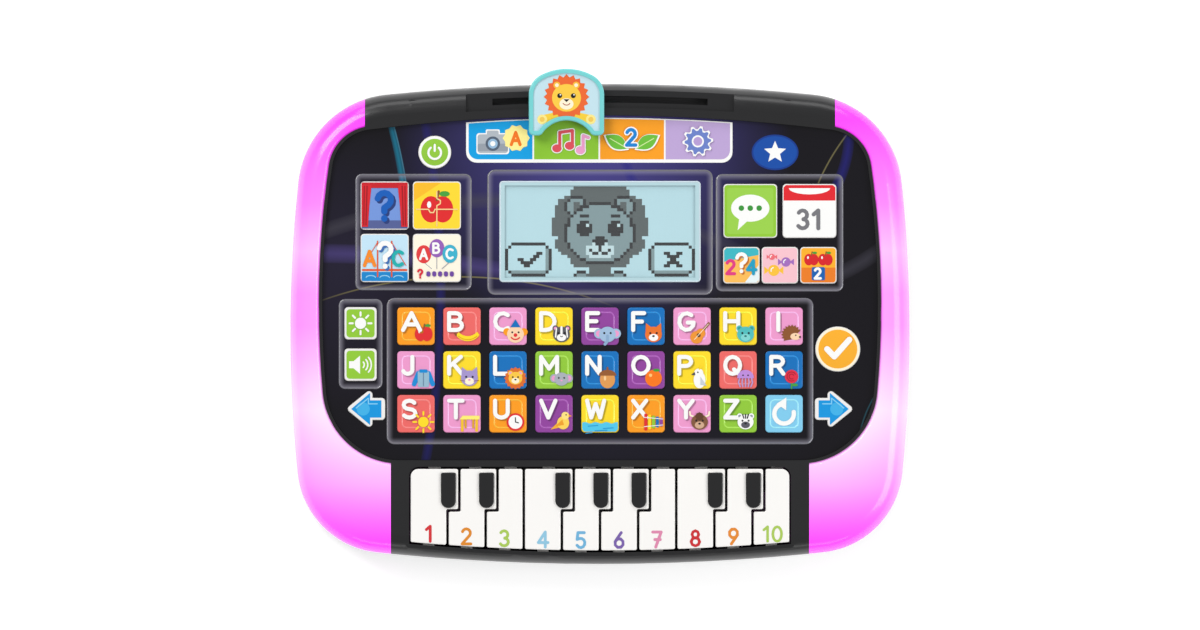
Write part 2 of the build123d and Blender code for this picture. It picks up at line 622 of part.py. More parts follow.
def rubber_domes():
    """The dome sheet on the main board and the dome strip on the piano board."""
    sheet_z = Z_BOARD + BOARD
    room = ring_outline(11.0) & (Pos(0, 13.8) * Rectangle(2 * RING_HALF_WIDTH, 133))
    screen_gap = Pos(0, SCREEN_Y) * Rectangle(104, 56)
    sheet = room - screen_gap - disc(60, -51.4, 3) - disc(-60, -51.4, 3)
    sheet = prism(sheet, sheet_z, sheet_z + DOME_SHEET)
    for _, _, (x, y) in [*KEYS.values(), *ACTIVITY]:
        sheet += Pos(x, y, sheet_z) * Cone(3.4, 2.2, DOME_TOP - sheet_z, align=(Align.CENTER, Align.CENTER, Align.MIN))
    strip_z = PIANO_BOARD_Z + BOARD
    strip = prism(Pos(0, -79) * Rectangle(154, 14), strip_z, strip_z + DOME_SHEET)
    for n in range(PIANO_KEYS):
        x = (n + 0.5 - PIANO_KEYS / 2) * KEY_PITCH
        strip += Pos(x, -80, strip_z) * Cone(3.4, 2.2, 1.7, align=(Align.CENTER, Align.CENTER, Align.MIN))
    return as_solids(sheet, strip)


def speaker():
    """A round basket with its magnet, face down over the grille."""
    profile = [
        (0, 5.0),
        (15.5, 4.4),
        (17.0, 4.0),
        (17.5, 3.5),
        (SPEAKER_RADIUS, 3.5),
        (SPEAKER_RADIUS, 5.6),
        (18.4, 5.6),
        (11.6, 11.2),
        (11.6, 18.0),
        (0, 18.0),
    ]
    half = make_face(Plane.XZ * Polyline(profile, close=True))
    return Pos(*SPEAKER_AT, 0) * revolve(half, Axis.Z)


def batteries():
    cells = []
    for n in (-1, 0, 1):
        pole = 1 if n else -1
        nub_end = 28.9
        profile = [
            (0, nub_end - BATTERY_LENGTH),
            (BATTERY_RADIUS - 0.6, nub_end - BATTERY_LENGTH),
            (BATTERY_RADIUS, nub_end - BATTERY_LENGTH + 0.6),
            (BATTERY_RADIUS, nub_end - 1.8),
            (BATTERY_RADIUS - 0.8, nub_end - 1.2),
            (2.7, nub_end - 1.2),
            (2.7, nub_end),
            (0, nub_end),
        ]
        cell = revolve(make_face(Plane.XZ * Polyline(profile, close=True)), Axis.Z)
        y, z = BATTERY_Y + 15.2 * n, 10.7
        cells.append(Pos(0, y, z) * Rot(0, 90 * pole, 0) * cell)
    return as_solids(*cells)


def battery_contacts():
    """A plate at each end of each cell, and a coil spring at its flat end."""
    pieces = []
    wall_x = BAY_SIZE[0] / 2
    for n in (-1, 0, 1):
        pole = 1 if n else -1
        y, z = BATTERY_Y + 15.2 * n, 10.7
        for side in SIDES:
            pieces.append(Pos(side * (wall_x - 0.2), y, z) * Box(0.4, 11.0, 11.0))
        coil = Helix(pitch=1.9, height=6.4, radius=3.4)
        wire = sweep(Plane(origin=coil @ 0, z_dir=coil % 0) * Circle(0.35), coil)
        turned = Rot(0, 90 * pole, 0) * wire
        pieces.append(Pos(-pole * (wall_x - 0.8), y, z) * turned)
    return as_solids(*pieces)


def case_screws():
    screws = []
    for x, y in SCREWS_AT:
        for side in SIDES:
            head = column(side * x, y, 2.7, 5.2, 7.0)
            slot = Pos(side * x, y, 5.2) * (Box(3.2, 0.7, 1.6) + Box(0.7, 3.2, 1.6))
            shank = column(side * x, y, SCREW_RADIUS, 7.0, 22.5)
            screws.append(head - slot + shank)
    return as_solids(*screws)


# ---- Parts ---------------------------------------------------------------------------------------
def main():
    os.makedirs("parts", exist_ok=True)
    parts = {
        "front_case": front_case(),
        "rear_case": rear_case(),
        "light_grip_left": light_grip(-1),
        "light_grip_right": light_grip(1),
        "touch_panel": touch_panel(),
        "screen_window": screen_window(),
        "lcd_module": lcd_module(),
        "main_board": main_board(),
        "daughter_boards": daughter_boards(),
        "rubber_domes": rubber_domes(),
        "speaker": speaker(),
        "batteries": batteries(),
        "battery_contacts": battery_contacts(),
        "battery_door": battery_door(),
        "case_screws": case_screws(),
        "mode_slider": mode_slider(),
        "activity_keys": as_solids(*[touch_key(*key) for key in ACTIVITY]),
    }
    for name, key in KEYS.items():
        parts[name] = touch_key(*key)
    for number in range(1, PIANO_KEYS + 1):
        parts[f"piano_key_{number}"] = piano_key(number)
    middle_y = (TAG_BACK_Y - DEPTH / 2) / 2
    for name, shape in parts.items():
        export_step(Pos(0, -middle_y, 0) * shape, f"parts/{name}.step")


main()
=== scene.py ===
"""How the kids toy tablet looks: materials, printed artwork, light-up grips, floor, lights and camera."""

import json
import math

import bpy
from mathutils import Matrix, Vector


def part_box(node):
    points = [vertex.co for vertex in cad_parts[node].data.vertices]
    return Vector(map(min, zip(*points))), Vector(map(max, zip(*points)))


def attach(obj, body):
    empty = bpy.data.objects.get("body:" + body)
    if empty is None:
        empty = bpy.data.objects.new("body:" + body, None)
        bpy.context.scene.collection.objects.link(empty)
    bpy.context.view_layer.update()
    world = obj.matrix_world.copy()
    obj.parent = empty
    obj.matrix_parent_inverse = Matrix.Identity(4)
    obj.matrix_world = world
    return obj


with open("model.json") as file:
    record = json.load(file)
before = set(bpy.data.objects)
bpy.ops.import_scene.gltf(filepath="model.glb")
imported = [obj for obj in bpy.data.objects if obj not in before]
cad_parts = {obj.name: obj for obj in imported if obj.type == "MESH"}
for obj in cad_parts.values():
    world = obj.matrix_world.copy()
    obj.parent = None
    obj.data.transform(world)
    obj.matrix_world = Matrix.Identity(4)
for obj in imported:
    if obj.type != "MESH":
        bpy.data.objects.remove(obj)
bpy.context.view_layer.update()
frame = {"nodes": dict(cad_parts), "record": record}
NODES = frame["nodes"]
RECORD = frame["record"]
MM = 0.001
LAYER = 0.008  # mm between one printed layer and the next
FACING_UP = 0.99  # a face whose normal's z is over this looks up
LIFT = 0.02  # mm between a face and the first layer printed on it

# ---- Colours -------------------------------------------------------------------------------------
WHITE = (250, 250, 248)
CREAM = (255, 244, 214)
BLACK = (24, 24, 28)
INKS = {
    "orange": (254, 158, 22),
    "coral": (240, 106, 102),
    "pink": (240, 156, 206),
    "yellow": (255, 222, 36),
    "purple": (146, 66, 158),
    "blue": (0, 112, 188),
    "green": (146, 202, 56),
    "light_blue": (130, 206, 240),
    "red": (226, 44, 48),
    "brown": (140, 84, 44),
    "leaf": (70, 160, 60),
    "grey": (150, 156, 168),
    "lilac": (182, 156, 212),
    "skin": (252, 214, 176),
    "cream": CREAM,
    "white": WHITE,
    "black": BLACK,
}


def linear(rgb):
    """Display values from 0 to 255 as the linear colour that the shaders take."""
    out = []
    for value in rgb:
        c = value / 255
        out.append(c / 12.92 if c <= 0.04045 else ((c + 0.055) / 1.055) ** 2.4)
    return (*out, 1.0)


def shade(rgb, k):
    return tuple(min(255, max(0, v * k)) for v in rgb)


# ---- Materials -----------------------------------------------------------------------------------
def new_material(name):
    material = bpy.data.materials.new(name)
    material.use_nodes = True
    tree = material.node_tree
    return material, tree, tree.nodes["Principled BSDF"]


def link(tree, a, b):
    tree.links.new(a, b)


def math_node(tree, operation, a, b=None, clamp=False):
    node = tree.nodes.new("ShaderNodeMath")
    node.operation = operation
    node.use_clamp = clamp
    for index, value in enumerate((a, b)):
        if value is None:
            continue
        if isinstance(value, (int, float)):
            node.inputs[index].default_value = value
        else:
            link(tree, value, node.inputs[index])
    return node.outputs[0]


def plus(tree, *values, **options):
    return math_node(tree, "ADD", *values, **options)


def minus(tree, *values, **options):
    return math_node(tree, "SUBTRACT", *values, **options)


def times(tree, *values, **options):
    return math_node(tree, "MULTIPLY", *values, **options)


def over(tree, *values, **options):
    return math_node(tree, "DIVIDE", *values, **options)


def fade(tree, away, reach):
    """1 where away is 0, falling to 0 at reach."""
    return minus(tree, 1.0, over(tree, away, reach), clamp=True)


def mix(tree, factor, a, b):
    node = tree.nodes.new("ShaderNodeMix")
    node.data_type = "RGBA"
    for socket, value in ((node.inputs[0], factor), (node.inputs[6], a), (node.inputs[7], b)):
        if isinstance(value, (int, float, tuple)):
            socket.default_value = value
        else:
            link(tree, value, socket)
    return node.outputs[2]


def noise(tree, scale, detail=3.0):
    coords = tree.nodes.new("ShaderNodeTexCoord")
    texture = tree.nodes.new("ShaderNodeTexNoise")
    texture.inputs["Scale"].default_value = scale
    texture.inputs["Detail"].default_value = detail
    link(tree, coords.outputs["Object"], texture.inputs["Vector"])
    return texture.outputs["Fac"]


def add_bump(tree, shader, height, strength, distance=0.0002):
    bump = tree.nodes.new("ShaderNodeBump")
    bump.inputs["Strength"].default_value = strength
    bump.inputs["Distance"].default_value = distance
    link(tree, height, bump.inputs["Height"])
    link(tree, bump.outputs["Normal"], shader.inputs["Normal"])


def surface(name, rgb, rough=0.4, metal=0.0, grain=900.0, bump=0.15, coat=0.0, spec=0.5, vary=0.06, lin=None):
    """A moulded, printed or metal surface: slightly uneven in colour, with a fine grain."""
    material, tree, shader = new_material(name)
    base = lin or linear(rgb)
    dark = (*[c * (1 - vary) for c in base[:3]], 1.0)
    factor = noise(tree, 60.0)
    link(tree, mix(tree, factor, base, dark), shader.inputs["Base Color"])
    shader.inputs["Roughness"].default_value = rough
    shader.inputs["Metallic"].default_value = metal
    shader.inputs["Specular IOR Level"].default_value = spec
    shader.inputs["Coat Weight"].default_value = coat
    shader.inputs["Coat Roughness"].default_value = 0.12
    add_bump(tree, shader, noise(tree, grain), bump)
    return material


INK_CACHE = {}


def ink(colour):
    rgb = INKS[colour] if isinstance(colour, str) else tuple(int(v) for v in colour)
    if rgb not in INK_CACHE:
        name = "ink_%02x%02x%02x" % rgb
        INK_CACHE[rgb] = surface(name, rgb, rough=0.38, bump=0.05, spec=0.35, vary=0.04)
    return INK_CACHE[rgb]


CLASSES = {  # roughness, metallic, grain strength
    "matte_plastic": (0.5, 0.0, 0.25),
    "gloss_plastic": (0.25, 0.0, 0.05),
    "rubber": (0.7, 0.0, 0.3),
    "painted_metal": (0.35, 0.2, 0.1),
    "brushed_steel": (0.3, 1.0, 0.2),
    "glass": (0.05, 0.0, 0.0),
}


def node_surface(slot):
    entry = next(m for m in RECORD["materials"] if m["slot"] == slot)
    rough, metal, bump = CLASSES[entry["class"]]
    return surface("cad_" + slot, None, rough, metal, bump=bump, lin=(*entry["base_color"][:3], 1.0))


def case_black():
    """Satin charcoal plastic with a fine spark-eroded texture."""
    material, tree, shader = new_material("case_charcoal")
    link(
        tree, mix(tree, noise(tree, 40.0), linear((27, 27, 29)), linear((22, 22, 24))),
        shader.inputs["Base Color"],
    )
    shader.inputs["Roughness"].default_value = 0.3
    shader.inputs["Specular IOR Level"].default_value = 0.5
    shader.inputs["Coat Weight"].default_value = 0.15
    add_bump(tree, shader, noise(tree, 2200.0, 2.0), 0.25, 0.0001)
    return material


# How bright the lamps show through the grips, from the front edge (-Y, mm) to the back.
GRIP_LEVELS = (
    (-97, 0.03), (-86, 0.17), (-72, 0.36), (-58, 0.46), (-40, 0.58), (-18, 0.36), (-4, 0.24), (10, 0.23),
    (28, 0.38), (48, 0.16), (66, 0.09), (84, 0.01),
)


def grip_glow():
    """Translucent magenta plastic lit from inside, palest where the lamps sit behind its inner edge."""
    material, tree, shader = new_material("grip_glow")
    coords = tree.nodes.new("ShaderNodeTexCoord")
    split = tree.nodes.new("ShaderNodeSeparateXYZ")
    link(tree, coords.outputs["Object"], split.inputs[0])
    x = math_node(tree, "ABSOLUTE", split.outputs[0])
    y, z = split.outputs[1], split.outputs[2]
    middle, half_x, half_y, corner = 0.0123, 0.1201, 0.0751, 0.031
    out_x = math_node(tree, "MAXIMUM", minus(tree, x, half_x - corner), 0.0)
    from_middle = math_node(tree, "ABSOLUTE", minus(tree, y, middle))
    out_y = math_node(tree, "MAXIMUM", minus(tree, from_middle, half_y - corner), 0.0)
    square = plus(tree, times(tree, out_x, out_x), times(tree, out_y, out_y))
    from_panel = minus(tree, math_node(tree, "SQRT", square), corner)
    across = fade(tree, from_panel, 0.03)
    ramp = tree.nodes.new("ShaderNodeValToRGB")
    stops = ramp.color_ramp.elements
    for n, (at, level) in enumerate(GRIP_LEVELS):
        stop = stops[n] if n < 2 else stops.new(1.0)
        stop.position = (at + 100) / 200
        stop.color = (level, level, level, 1.0)
    link(tree, over(tree, plus(tree, y, 0.1), 0.2, clamp=True), ramp.inputs[0])
    glow = times(tree, ramp.outputs[0], plus(tree, times(tree, across, 0.7), 0.6))
    uneven = times(tree, noise(tree, 14.0), 0.16)
    glow = times(tree, glow, plus(tree, uneven, 0.92), clamp=True)
    colour = mix(tree, glow, linear((255, 50, 250)), linear((255, 216, 255)))
    # Painted shade: the grip's colour darkens towards its bottom edge.
    low = over(tree, minus(tree, z, 0.012), 0.014, clamp=True)
    colour = mix(tree, low, linear((150, 20, 160)), colour)
    link(tree, colour, shader.inputs["Base Color"])
    link(tree, colour, shader.inputs["Emission Color"])
    shader.inputs["Emission Strength"].default_value = 0.55
    shader.inputs["Roughness"].default_value = 0.22
    shader.inputs["Coat Weight"].default_value = 0.3
    add_bump(tree, shader, noise(tree, 500.0), 0.04)
    return material


# Each swoosh is a stretch of a circle: centre x, y, radius, half width, front and back y (mm),
# colour, strength.
SWOOSHES = (
    (-282.5, 30.0, 200.0, 1.5, 46, 90, (22, 112, 140), 0.85),
    (-286.5, 26.0, 206.0, 0.35, 46, 90, (90, 160, 190), 0.4),
    (-468.0, 10.0, 400.0, 2.2, -80, 90, (34, 32, 124), 0.4),
    (-40.0, -180.0, 230.0, 3.6, 24, 60, (70, 68, 78), 0.5),
    (-120.0, -373.0, 400.0, 4.2, 10, 40, (78, 66, 128), 0.6),
    (-60.0, -160.0, 177.0, 0.4, 4, 40, (160, 150, 90), 0.5),
    (180.0, 20.0, 94.3, 0.4, 50, 90, (160, 150, 100), 0.45),
    (58.0, 78.0, 48.4, 2.4, 44, 90, (36, 34, 126), 0.6),
    (60.0, 110.0, 101.0, 3.4, 8, 40, (70, 68, 80), 0.45),
    (160.0, -60.0, 50.0, 0.4, -90, -10, (60, 130, 150), 0.4),
)


def group_frames():
    """The clear frames round the groups of keys and the screen: centre, size, corner radius."""
    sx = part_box("screen_window")
    window = ((sx[0][0] + sx[1][0]) / 2 / MM, (sx[0][1] + sx[1][1]) / 2 / MM)
    first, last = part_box("key_a"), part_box("key_repeat")
    letters_low, letters_high = last[0][1] / MM - 3.4, first[1][1] / MM + 2.4
    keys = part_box("activity_keys")
    left_low, high = keys[0][0] / MM - 2.0, keys[1][1] / MM + 2.2
    right = keys[1][0] / MM
    bright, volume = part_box("key_brightness"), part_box("key_volume")
    setting_low, setting_high = volume[0][1] / MM - 2.4, bright[1][1] / MM + 2.4
    setting_x = (bright[0][0] + bright[1][0]) / 2 / MM
    return (
        ((left_low + 24.6, high - 24.6), (49.2, 49.2), 2.5),
        ((window[0], window[1] - 0.3), (95.8, 53.0), 3.0),
        ((right + 2.6 - 27.0, high - 24.9), (54.0, 49.6), 2.5),
        ((0.0, (letters_low + letters_high) / 2), (181.8, letters_high - letters_low + 1.2), 3.0),
        ((setting_x, (setting_low + setting_high) / 2), (18.2, setting_high - setting_low), 2.5),
    )


FRAMES = group_frames()


def panel_film():
    """Near-black film with an indigo glow at its back edge, printed swooshes and paler key-group frames."""
    material, tree, shader = new_material("panel_film")
    coords = tree.nodes.new("ShaderNodeTexCoord")
    split = tree.nodes.new("ShaderNodeSeparateXYZ")
    link(tree, coords.outputs["Object"], split.inputs[0])
    x, y = split.outputs[0], split.outputs[1]

    def away(cx, cy):
        dx = minus(tree, x, cx * MM)
        dy = minus(tree, y, cy * MM)
        return math_node(tree, "SQRT", plus(tree, times(tree, dx, dx), times(tree, dy, dy)))

    top_glow = fade(tree, away(-4, 74), 0.086)
    top_glow = math_node(tree, "POWER", top_glow, 1.1)
    side_glow = fade(tree, away(-112, 20), 0.06)
    low_glow = fade(tree, away(0, -62), 0.09)
    colour = mix(tree, top_glow, linear((17, 15, 22)), linear((74, 68, 140)))
    colour = mix(tree, times(tree, side_glow, 0.25), colour, linear((56, 48, 84)))
    colour = mix(tree, times(tree, low_glow, 0.15), colour, linear((44, 42, 70)))
    for cx, cy, radius, half, front, back, rgb, strength in SWOOSHES:
        off = math_node(tree, "ABSOLUTE", minus(tree, away(cx, cy), radius * MM))
        band = fade(tree, off, half * MM)
        band = times(tree, math_node(tree, "POWER", band, 0.6), strength)
        for sign, limit in ((1, front), (-1, back)):
            run = times(tree, minus(tree, y, limit * MM), sign)
            band = times(tree, band, over(tree, run, 0.01, clamp=True))
        colour = mix(tree, band, colour, linear(rgb))
    for (cx, cy), (w, h), r in FRAMES:
        q = []
        for along, middle, side in ((x, cx, w), (y, cy, h)):
            span = math_node(tree, "ABSOLUTE", minus(tree, along, middle * MM))
            q.append(minus(tree, span, (side / 2 - r) * MM))
        corner = [math_node(tree, "MAXIMUM", part, 0.0) for part in q]
        outside = math_node(tree, "SQRT", plus(tree, *[times(tree, c, c) for c in corner]))
        within = math_node(tree, "MINIMUM", math_node(tree, "MAXIMUM", *q), 0.0)
        edge = minus(tree, plus(tree, outside, within), r * MM)
        inside = math_node(tree, "LESS_THAN", edge, 0.0)
        band = plus(tree, over(tree, edge, 2.9 * MM), 1.0, clamp=True)
        amount = times(tree, math_node(tree, "POWER", band, 1.8), 0.36)
        colour = mix(tree, times(tree, inside, amount), colour, linear((200, 196, 214)))
    link(tree, colour, shader.inputs["Base Color"])
    shader.inputs["Roughness"].default_value = 0.2
    shader.inputs["Specular IOR Level"].default_value = 0.3
    add_bump(tree, shader, noise(tree, 120.0), 0.02)
    return material


def clear_plastic():
    material, tree, shader = new_material("clear_plastic")
    out = tree.nodes["Material Output"]
    clear = tree.nodes.new("ShaderNodeBsdfTransparent")
    clear.inputs[0].default_value = (0.98, 0.985, 0.985, 1.0)
    blend = tree.nodes.new("ShaderNodeMixShader")
    blend.inputs[0].default_value = 0.03
    shader.inputs["Base Color"].default_value = (0.9, 0.93, 0.97, 1.0)
    shader.inputs["Roughness"].default_value = 0.06
    add_bump(tree, shader, noise(tree, 80.0), 0.02)
    link(tree, clear.outputs[0], blend.inputs[1])
    link(tree, shader.outputs[0], blend.inputs[2])
    link(tree, blend.outputs[0], out.inputs["Surface"])
    return material


def lcd_grey():
    """Blue-grey screen with the faint grid of its dots."""
    material, tree, shader = new_material("lcd_grey")
    coords = tree.nodes.new("ShaderNodeTexCoord")
    split = tree.nodes.new("ShaderNodeSeparateXYZ")
    link(tree, coords.outputs["Object"], split.inputs[0])
    lines = []
    for axis in (0, 1):
        step = over(tree, split.outputs[axis], DOT * MM)
        part = math_node(tree, "FRACT", plus(tree, step, 100.5))
        lines.append(math_node(tree, "LESS_THAN", part, 0.14))
    grid = math_node(tree, "MAXIMUM", lines[0], lines[1])
    colour = mix(tree, noise(tree, 12.0), linear((180, 214, 221)), linear((172, 208, 217)))
    colour = mix(tree, times(tree, grid, 0.25), colour, linear((186, 218, 225)))
    link(tree, colour, shader.inputs["Base Color"])
    shader.inputs["Roughness"].default_value = 0.4
    # Painted glow: the screen gives off a faint light of its own colour.
    link(tree, colour, shader.inputs["Emission Color"])
    shader.inputs["Emission Strength"].default_value = 0.12
    return material


DOT = 1.33

# ---- Printing ------------------------------------------------------------------------------------
def arc(cx, cy, rx, ry, start, end, count=10):
    points = []
    for n in range(count + 1):
        a = math.radians(start + (end - start) * n / count)
        points.append((cx + rx * math.cos(a), cy + ry * math.sin(a)))
    return points


def rounded_path(cx, cy, w, h, r, count=5):
    points = []
    for sx, sy, start in ((1, 1, 0), (-1, 1, 90), (-1, -1, 180), (1, -1, 270)):
        points += arc(cx + sx * (w / 2 - r), cy + sy * (h / 2 - r), r, r, start, start + 90, count)
    return points


class Print:
    """Flat shapes printed one over the other on one face, in mm round a centre."""

    def __init__(self, name, body, x, y, z, slot=None):
        self.name, self.body, self.slot = name, body, slot
        self.at = (x, y, z)
        self.verts, self.faces, self.face_ink, self.inks = [], [], [], []
        self.z = LIFT

    def _ink(self, colour):
        material = colour if isinstance(colour, bpy.types.Material) else ink(colour)
        if material not in self.inks:
            self.inks.append(material)
        return self.inks.index(material)

    def _add(self, points, index, z=None):
        area = sum(a[0] * b[1] - b[0] * a[1] for a, b in zip(points, points[1:] + points[:1]))
        if area < 0:
            points = points[::-1]
        start = len(self.verts)
        self.verts += [(px, py, self.z if z is None else z) for px, py in points]
        self.faces.append(tuple(range(start, start + len(points))))
        self.face_ink.append(index)

    def poly(self, points, colour):
        self.z += LAYER
        self._add(list(points), self._ink(colour))

    def disc(self, x, y, r, colour, ry=None, count=28):
        self.poly(arc(x, y, r, ry or r, 0, 360 - 360 / count, count - 1), colour)

    def box(self, x, y, w, h, colour, r=0.3):
        self.poly(rounded_path(x, y, w, h, r, 4), colour)

    def ring(self, outer, inner, colour):
        self.z += LAYER
        index = self._ink(colour)
        pairs = list(zip(outer, inner))
        for (a, b), (c, d) in zip(pairs, pairs[1:] + pairs[:1]):
            self._add([a, c, d, b], index)

    def line(self, points, width, colour):
        """A stroke with round ends. Smooth bends are mitred and sharp ones get a round corner."""
        index = self._ink(colour)
        points = [points[0]] + [b for a, b in zip(points, points[1:]) if math.dist(a, b) > 0.01]
        runs, run = [], points[:1]
        for before, here, after in zip(points, points[1:], points[2:]):
            run.append(here)
            ahead = (after[0] - here[0]) * (here[0] - before[0]) + (after[1] - here[1]) * (
                here[1] - before[1]
            )
            if ahead < 0.7 * math.dist(after, here) * math.dist(here, before):
                runs.append(run)
                run = [here]
        runs.append(run + points[-1:])
        for n, run in enumerate(runs):
            self.z += LAYER
            left, right = [], []
            for k, here in enumerate(run):
                a, b = run[max(k - 1, 0)], run[min(k + 1, len(run) - 1)]
                length = math.dist(a, b) or 1.0
                nx, ny = -(b[1] - a[1]) / length * width / 2, (b[0] - a[0]) / length * width / 2
                left.append((here[0] + nx, here[1] + ny))
                right.append((here[0] - nx, here[1] - ny))
            for k in range(len(run) - 1):
                self._add([left[k], left[k + 1], right[k + 1], right[k]], index)
            self.z += LAYER
            if n == 0:
                self._add(arc(*run[0], width / 2, width / 2, 0, 345, 15), index)
                self.z += LAYER
            self._add(arc(*run[-1], width / 2, width / 2, 0, 345, 15), index)

    def ridge(self, cx, cy, w, h, r, width, height, colour):
        """A raised bead that follows a rounded rectangle."""
        index = self._ink(colour)
        loops = []
        for inset, z in (
            (0, 0), (width * 0.3, height * 0.8), (width * 0.5, height), (width * 0.7, height * 0.8),
            (width, 0),
        ):
            ring = rounded_path(cx, cy, w - 2 * inset, h - 2 * inset, max(r - inset, 0.2))
            loops.append([(px, py, LIFT / 2 + z) for px, py in ring])
        for outer, inner in zip(loops, loops[1:]):
            for n in range(len(outer)):
                m = (n + 1) % len(outer)
                start = len(self.verts)
                self.verts += [outer[n], outer[m], inner[m], inner[n]]
                self.faces.append((start, start + 1, start + 2, start + 3))
                self.face_ink.append(index)

    def word(self, text, x, y, height, width, colour, shadow=None, wide=1.0):
        """Rounded lettering: x, y is the lower left corner."""
        for offset, tone in ((0.08 * height, shadow), (0.0, colour)):
            if tone is None:
                continue
            left = x
            for letter in text:
                for stroke in GLYPHS[letter]:
                    self.line(
                        [(left + px * height * wide + offset, y + py * height - offset) for px, py in stroke],
                        width, tone,
                    )
                left += (max(px for s in GLYPHS[letter] for px, _ in s) * wide + 0.34) * height

    def done(self):
        mesh = bpy.data.meshes.new(self.name)
        x, y, z = self.at
        verts = [((x + vx) * MM, (y + vy) * MM, (z + vz) * MM) for vx, vy, vz in self.verts]
        mesh.from_pydata(verts, [], self.faces)
        for material in self.inks:
            mesh.materials.append(material)
        for polygon, index in zip(mesh.polygons, self.face_ink):
            polygon.material_index = index
        mesh.update()
        piece = bpy.data.objects.new(self.name, mesh)
        bpy.context.scene.collection.objects.link(piece)
        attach(piece, self.body)
        return piece


def bowl(cx, cy, rx, ry, start, end):
    return arc(cx, cy, rx, ry, start, end, 8)


GLYPHS = {
    "a": [[(0, 0), (0.36, 1), (0.72, 0)], [(0.13, 0.33), (0.59, 0.33)]],
    "b": [
        [(0, 0), (0, 1), (0.3, 1), *bowl(0.3, 0.77, 0.24, 0.23, 90, -90), (0, 0.54)],
        [(0, 0.54), (0.34, 0.54), *bowl(0.34, 0.27, 0.27, 0.27, 90, -90), (0, 0)],
    ],
    "c": [bowl(0.4, 0.5, 0.4, 0.5, 50, 310)],
    "d": [[(0, 0), (0, 1), (0.22, 1), *bowl(0.22, 0.5, 0.42, 0.5, 90, -90), (0, 0)]],
    "e": [[(0.52, 1), (0, 1), (0, 0), (0.52, 0)], [(0, 0.52), (0.44, 0.52)]],
    "f": [[(0.52, 1), (0, 1), (0, 0)], [(0, 0.5), (0.42, 0.5)]],
    "g": [[*bowl(0.4, 0.5, 0.4, 0.5, 50, 330), (0.78, 0.44), (0.46, 0.44)]],
    "h": [[(0, 0), (0, 1)], [(0.62, 0), (0.62, 1)], [(0, 0.52), (0.62, 0.52)]],
    "i": [[(0.1, 0), (0.1, 1)]],
    "j": [[(0.44, 1), (0.44, 0.24), *bowl(0.22, 0.24, 0.22, 0.24, 0, -160)]],
    "k": [[(0, 0), (0, 1)], [(0.56, 1), (0.04, 0.46)], [(0.2, 0.6), (0.6, 0)]],
    "l": [[(0, 1), (0, 0), (0.5, 0)]],
    "m": [[(0, 0), (0, 1), (0.38, 0.3), (0.76, 1), (0.76, 0)]],
    "n": [[(0, 0), (0, 1), (0.62, 0), (0.62, 1)]],
    "o": [bowl(0.42, 0.5, 0.42, 0.5, 0, 180) + bowl(0.42, 0.5, 0.42, 0.5, 180, 360)],
    "p": [[(0, 0), (0, 1), (0.3, 1), *bowl(0.3, 0.73, 0.27, 0.27, 90, -90), (0, 0.46)]],
    "q": [
        bowl(0.42, 0.5, 0.42, 0.5, 0, 180) + bowl(0.42, 0.5, 0.42, 0.5, 180, 360),
        [(0.5, 0.26), (0.82, -0.06)],
    ],
    "r": [
        [(0, 0), (0, 1), (0.3, 1), *bowl(0.3, 0.74, 0.26, 0.26, 90, -90), (0, 0.48)],
        [(0.3, 0.48), (0.58, 0)],
    ],
    "s": [bowl(0.3, 0.75, 0.27, 0.25, 30, 270) + bowl(0.3, 0.25, 0.29, 0.25, 90, -150)],
    "t": [[(0, 1), (0.64, 1)], [(0.32, 1), (0.32, 0)]],
    "u": [[(0, 1), (0, 0.3), *bowl(0.3, 0.3, 0.3, 0.3, 180, 360), (0.6, 1)]],
    "v": [[(0, 1), (0.34, 0), (0.68, 1)]],
    "w": [[(0, 1), (0.22, 0), (0.46, 0.8), (0.7, 0), (0.92, 1)]],
    "x": [[(0, 0), (0.62, 1)], [(0, 1), (0.62, 0)]],
    "y": [[(0, 1), (0.32, 0.48), (0.64, 1)], [(0.32, 0.48), (0.32, 0)]],
    "z": [[(0, 1), (0.58, 1), (0, 0), (0.6, 0)]],
    "1": [[(0, 0.78), (0.26, 1), (0.26, 0)]],
    "2": [[*bowl(0.28, 0.72, 0.27, 0.28, 160, -30), (0, 0), (0.58, 0)]],
    "3": [bowl(0.26, 0.75, 0.25, 0.25, 150, -80) + bowl(0.26, 0.26, 0.28, 0.26, 80, -150)],
    "4": [[(0.46, 0), (0.46, 1), (0, 0.3), (0.64, 0.3)]],
    "5": [[(0.52, 1), (0.1, 1), (0.04, 0.55), *bowl(0.28, 0.31, 0.28, 0.31, 110, -150)]],
    "6": [[(0.44, 1), (0.1, 0.5), *bowl(0.3, 0.3, 0.28, 0.3, 160, 520)]],
    "7": [[(0, 1), (0.56, 1), (0.2, 0)], [(0.14, 0.5), (0.5, 0.5)]],
    "8": [bowl(0.3, 0.76, 0.22, 0.24, 0, 360), bowl(0.3, 0.27, 0.28, 0.27, 0, 360)],
    "9": [[(0.16, 0), (0.5, 0.5), *bowl(0.3, 0.7, 0.28, 0.3, -20, 340)]],
    "0": [bowl(0.32, 0.5, 0.3, 0.5, 0, 180) + bowl(0.32, 0.5, 0.3, 0.5, 180, 360)],
    "?": [[*bowl(0.26, 0.74, 0.26, 0.26, 170, -50), (0.26, 0.42), (0.26, 0.28)], [(0.26, 0.0), (0.26, 0.02)]],
}


# ---- Little pictures -----------------------------------------------------------------------------
def eyes(p, x, y, r, gap=0.38, size=0.13):
    for side in (-1, 1):
        p.disc(x + side * gap * r, y, size * r, "black", count=12)


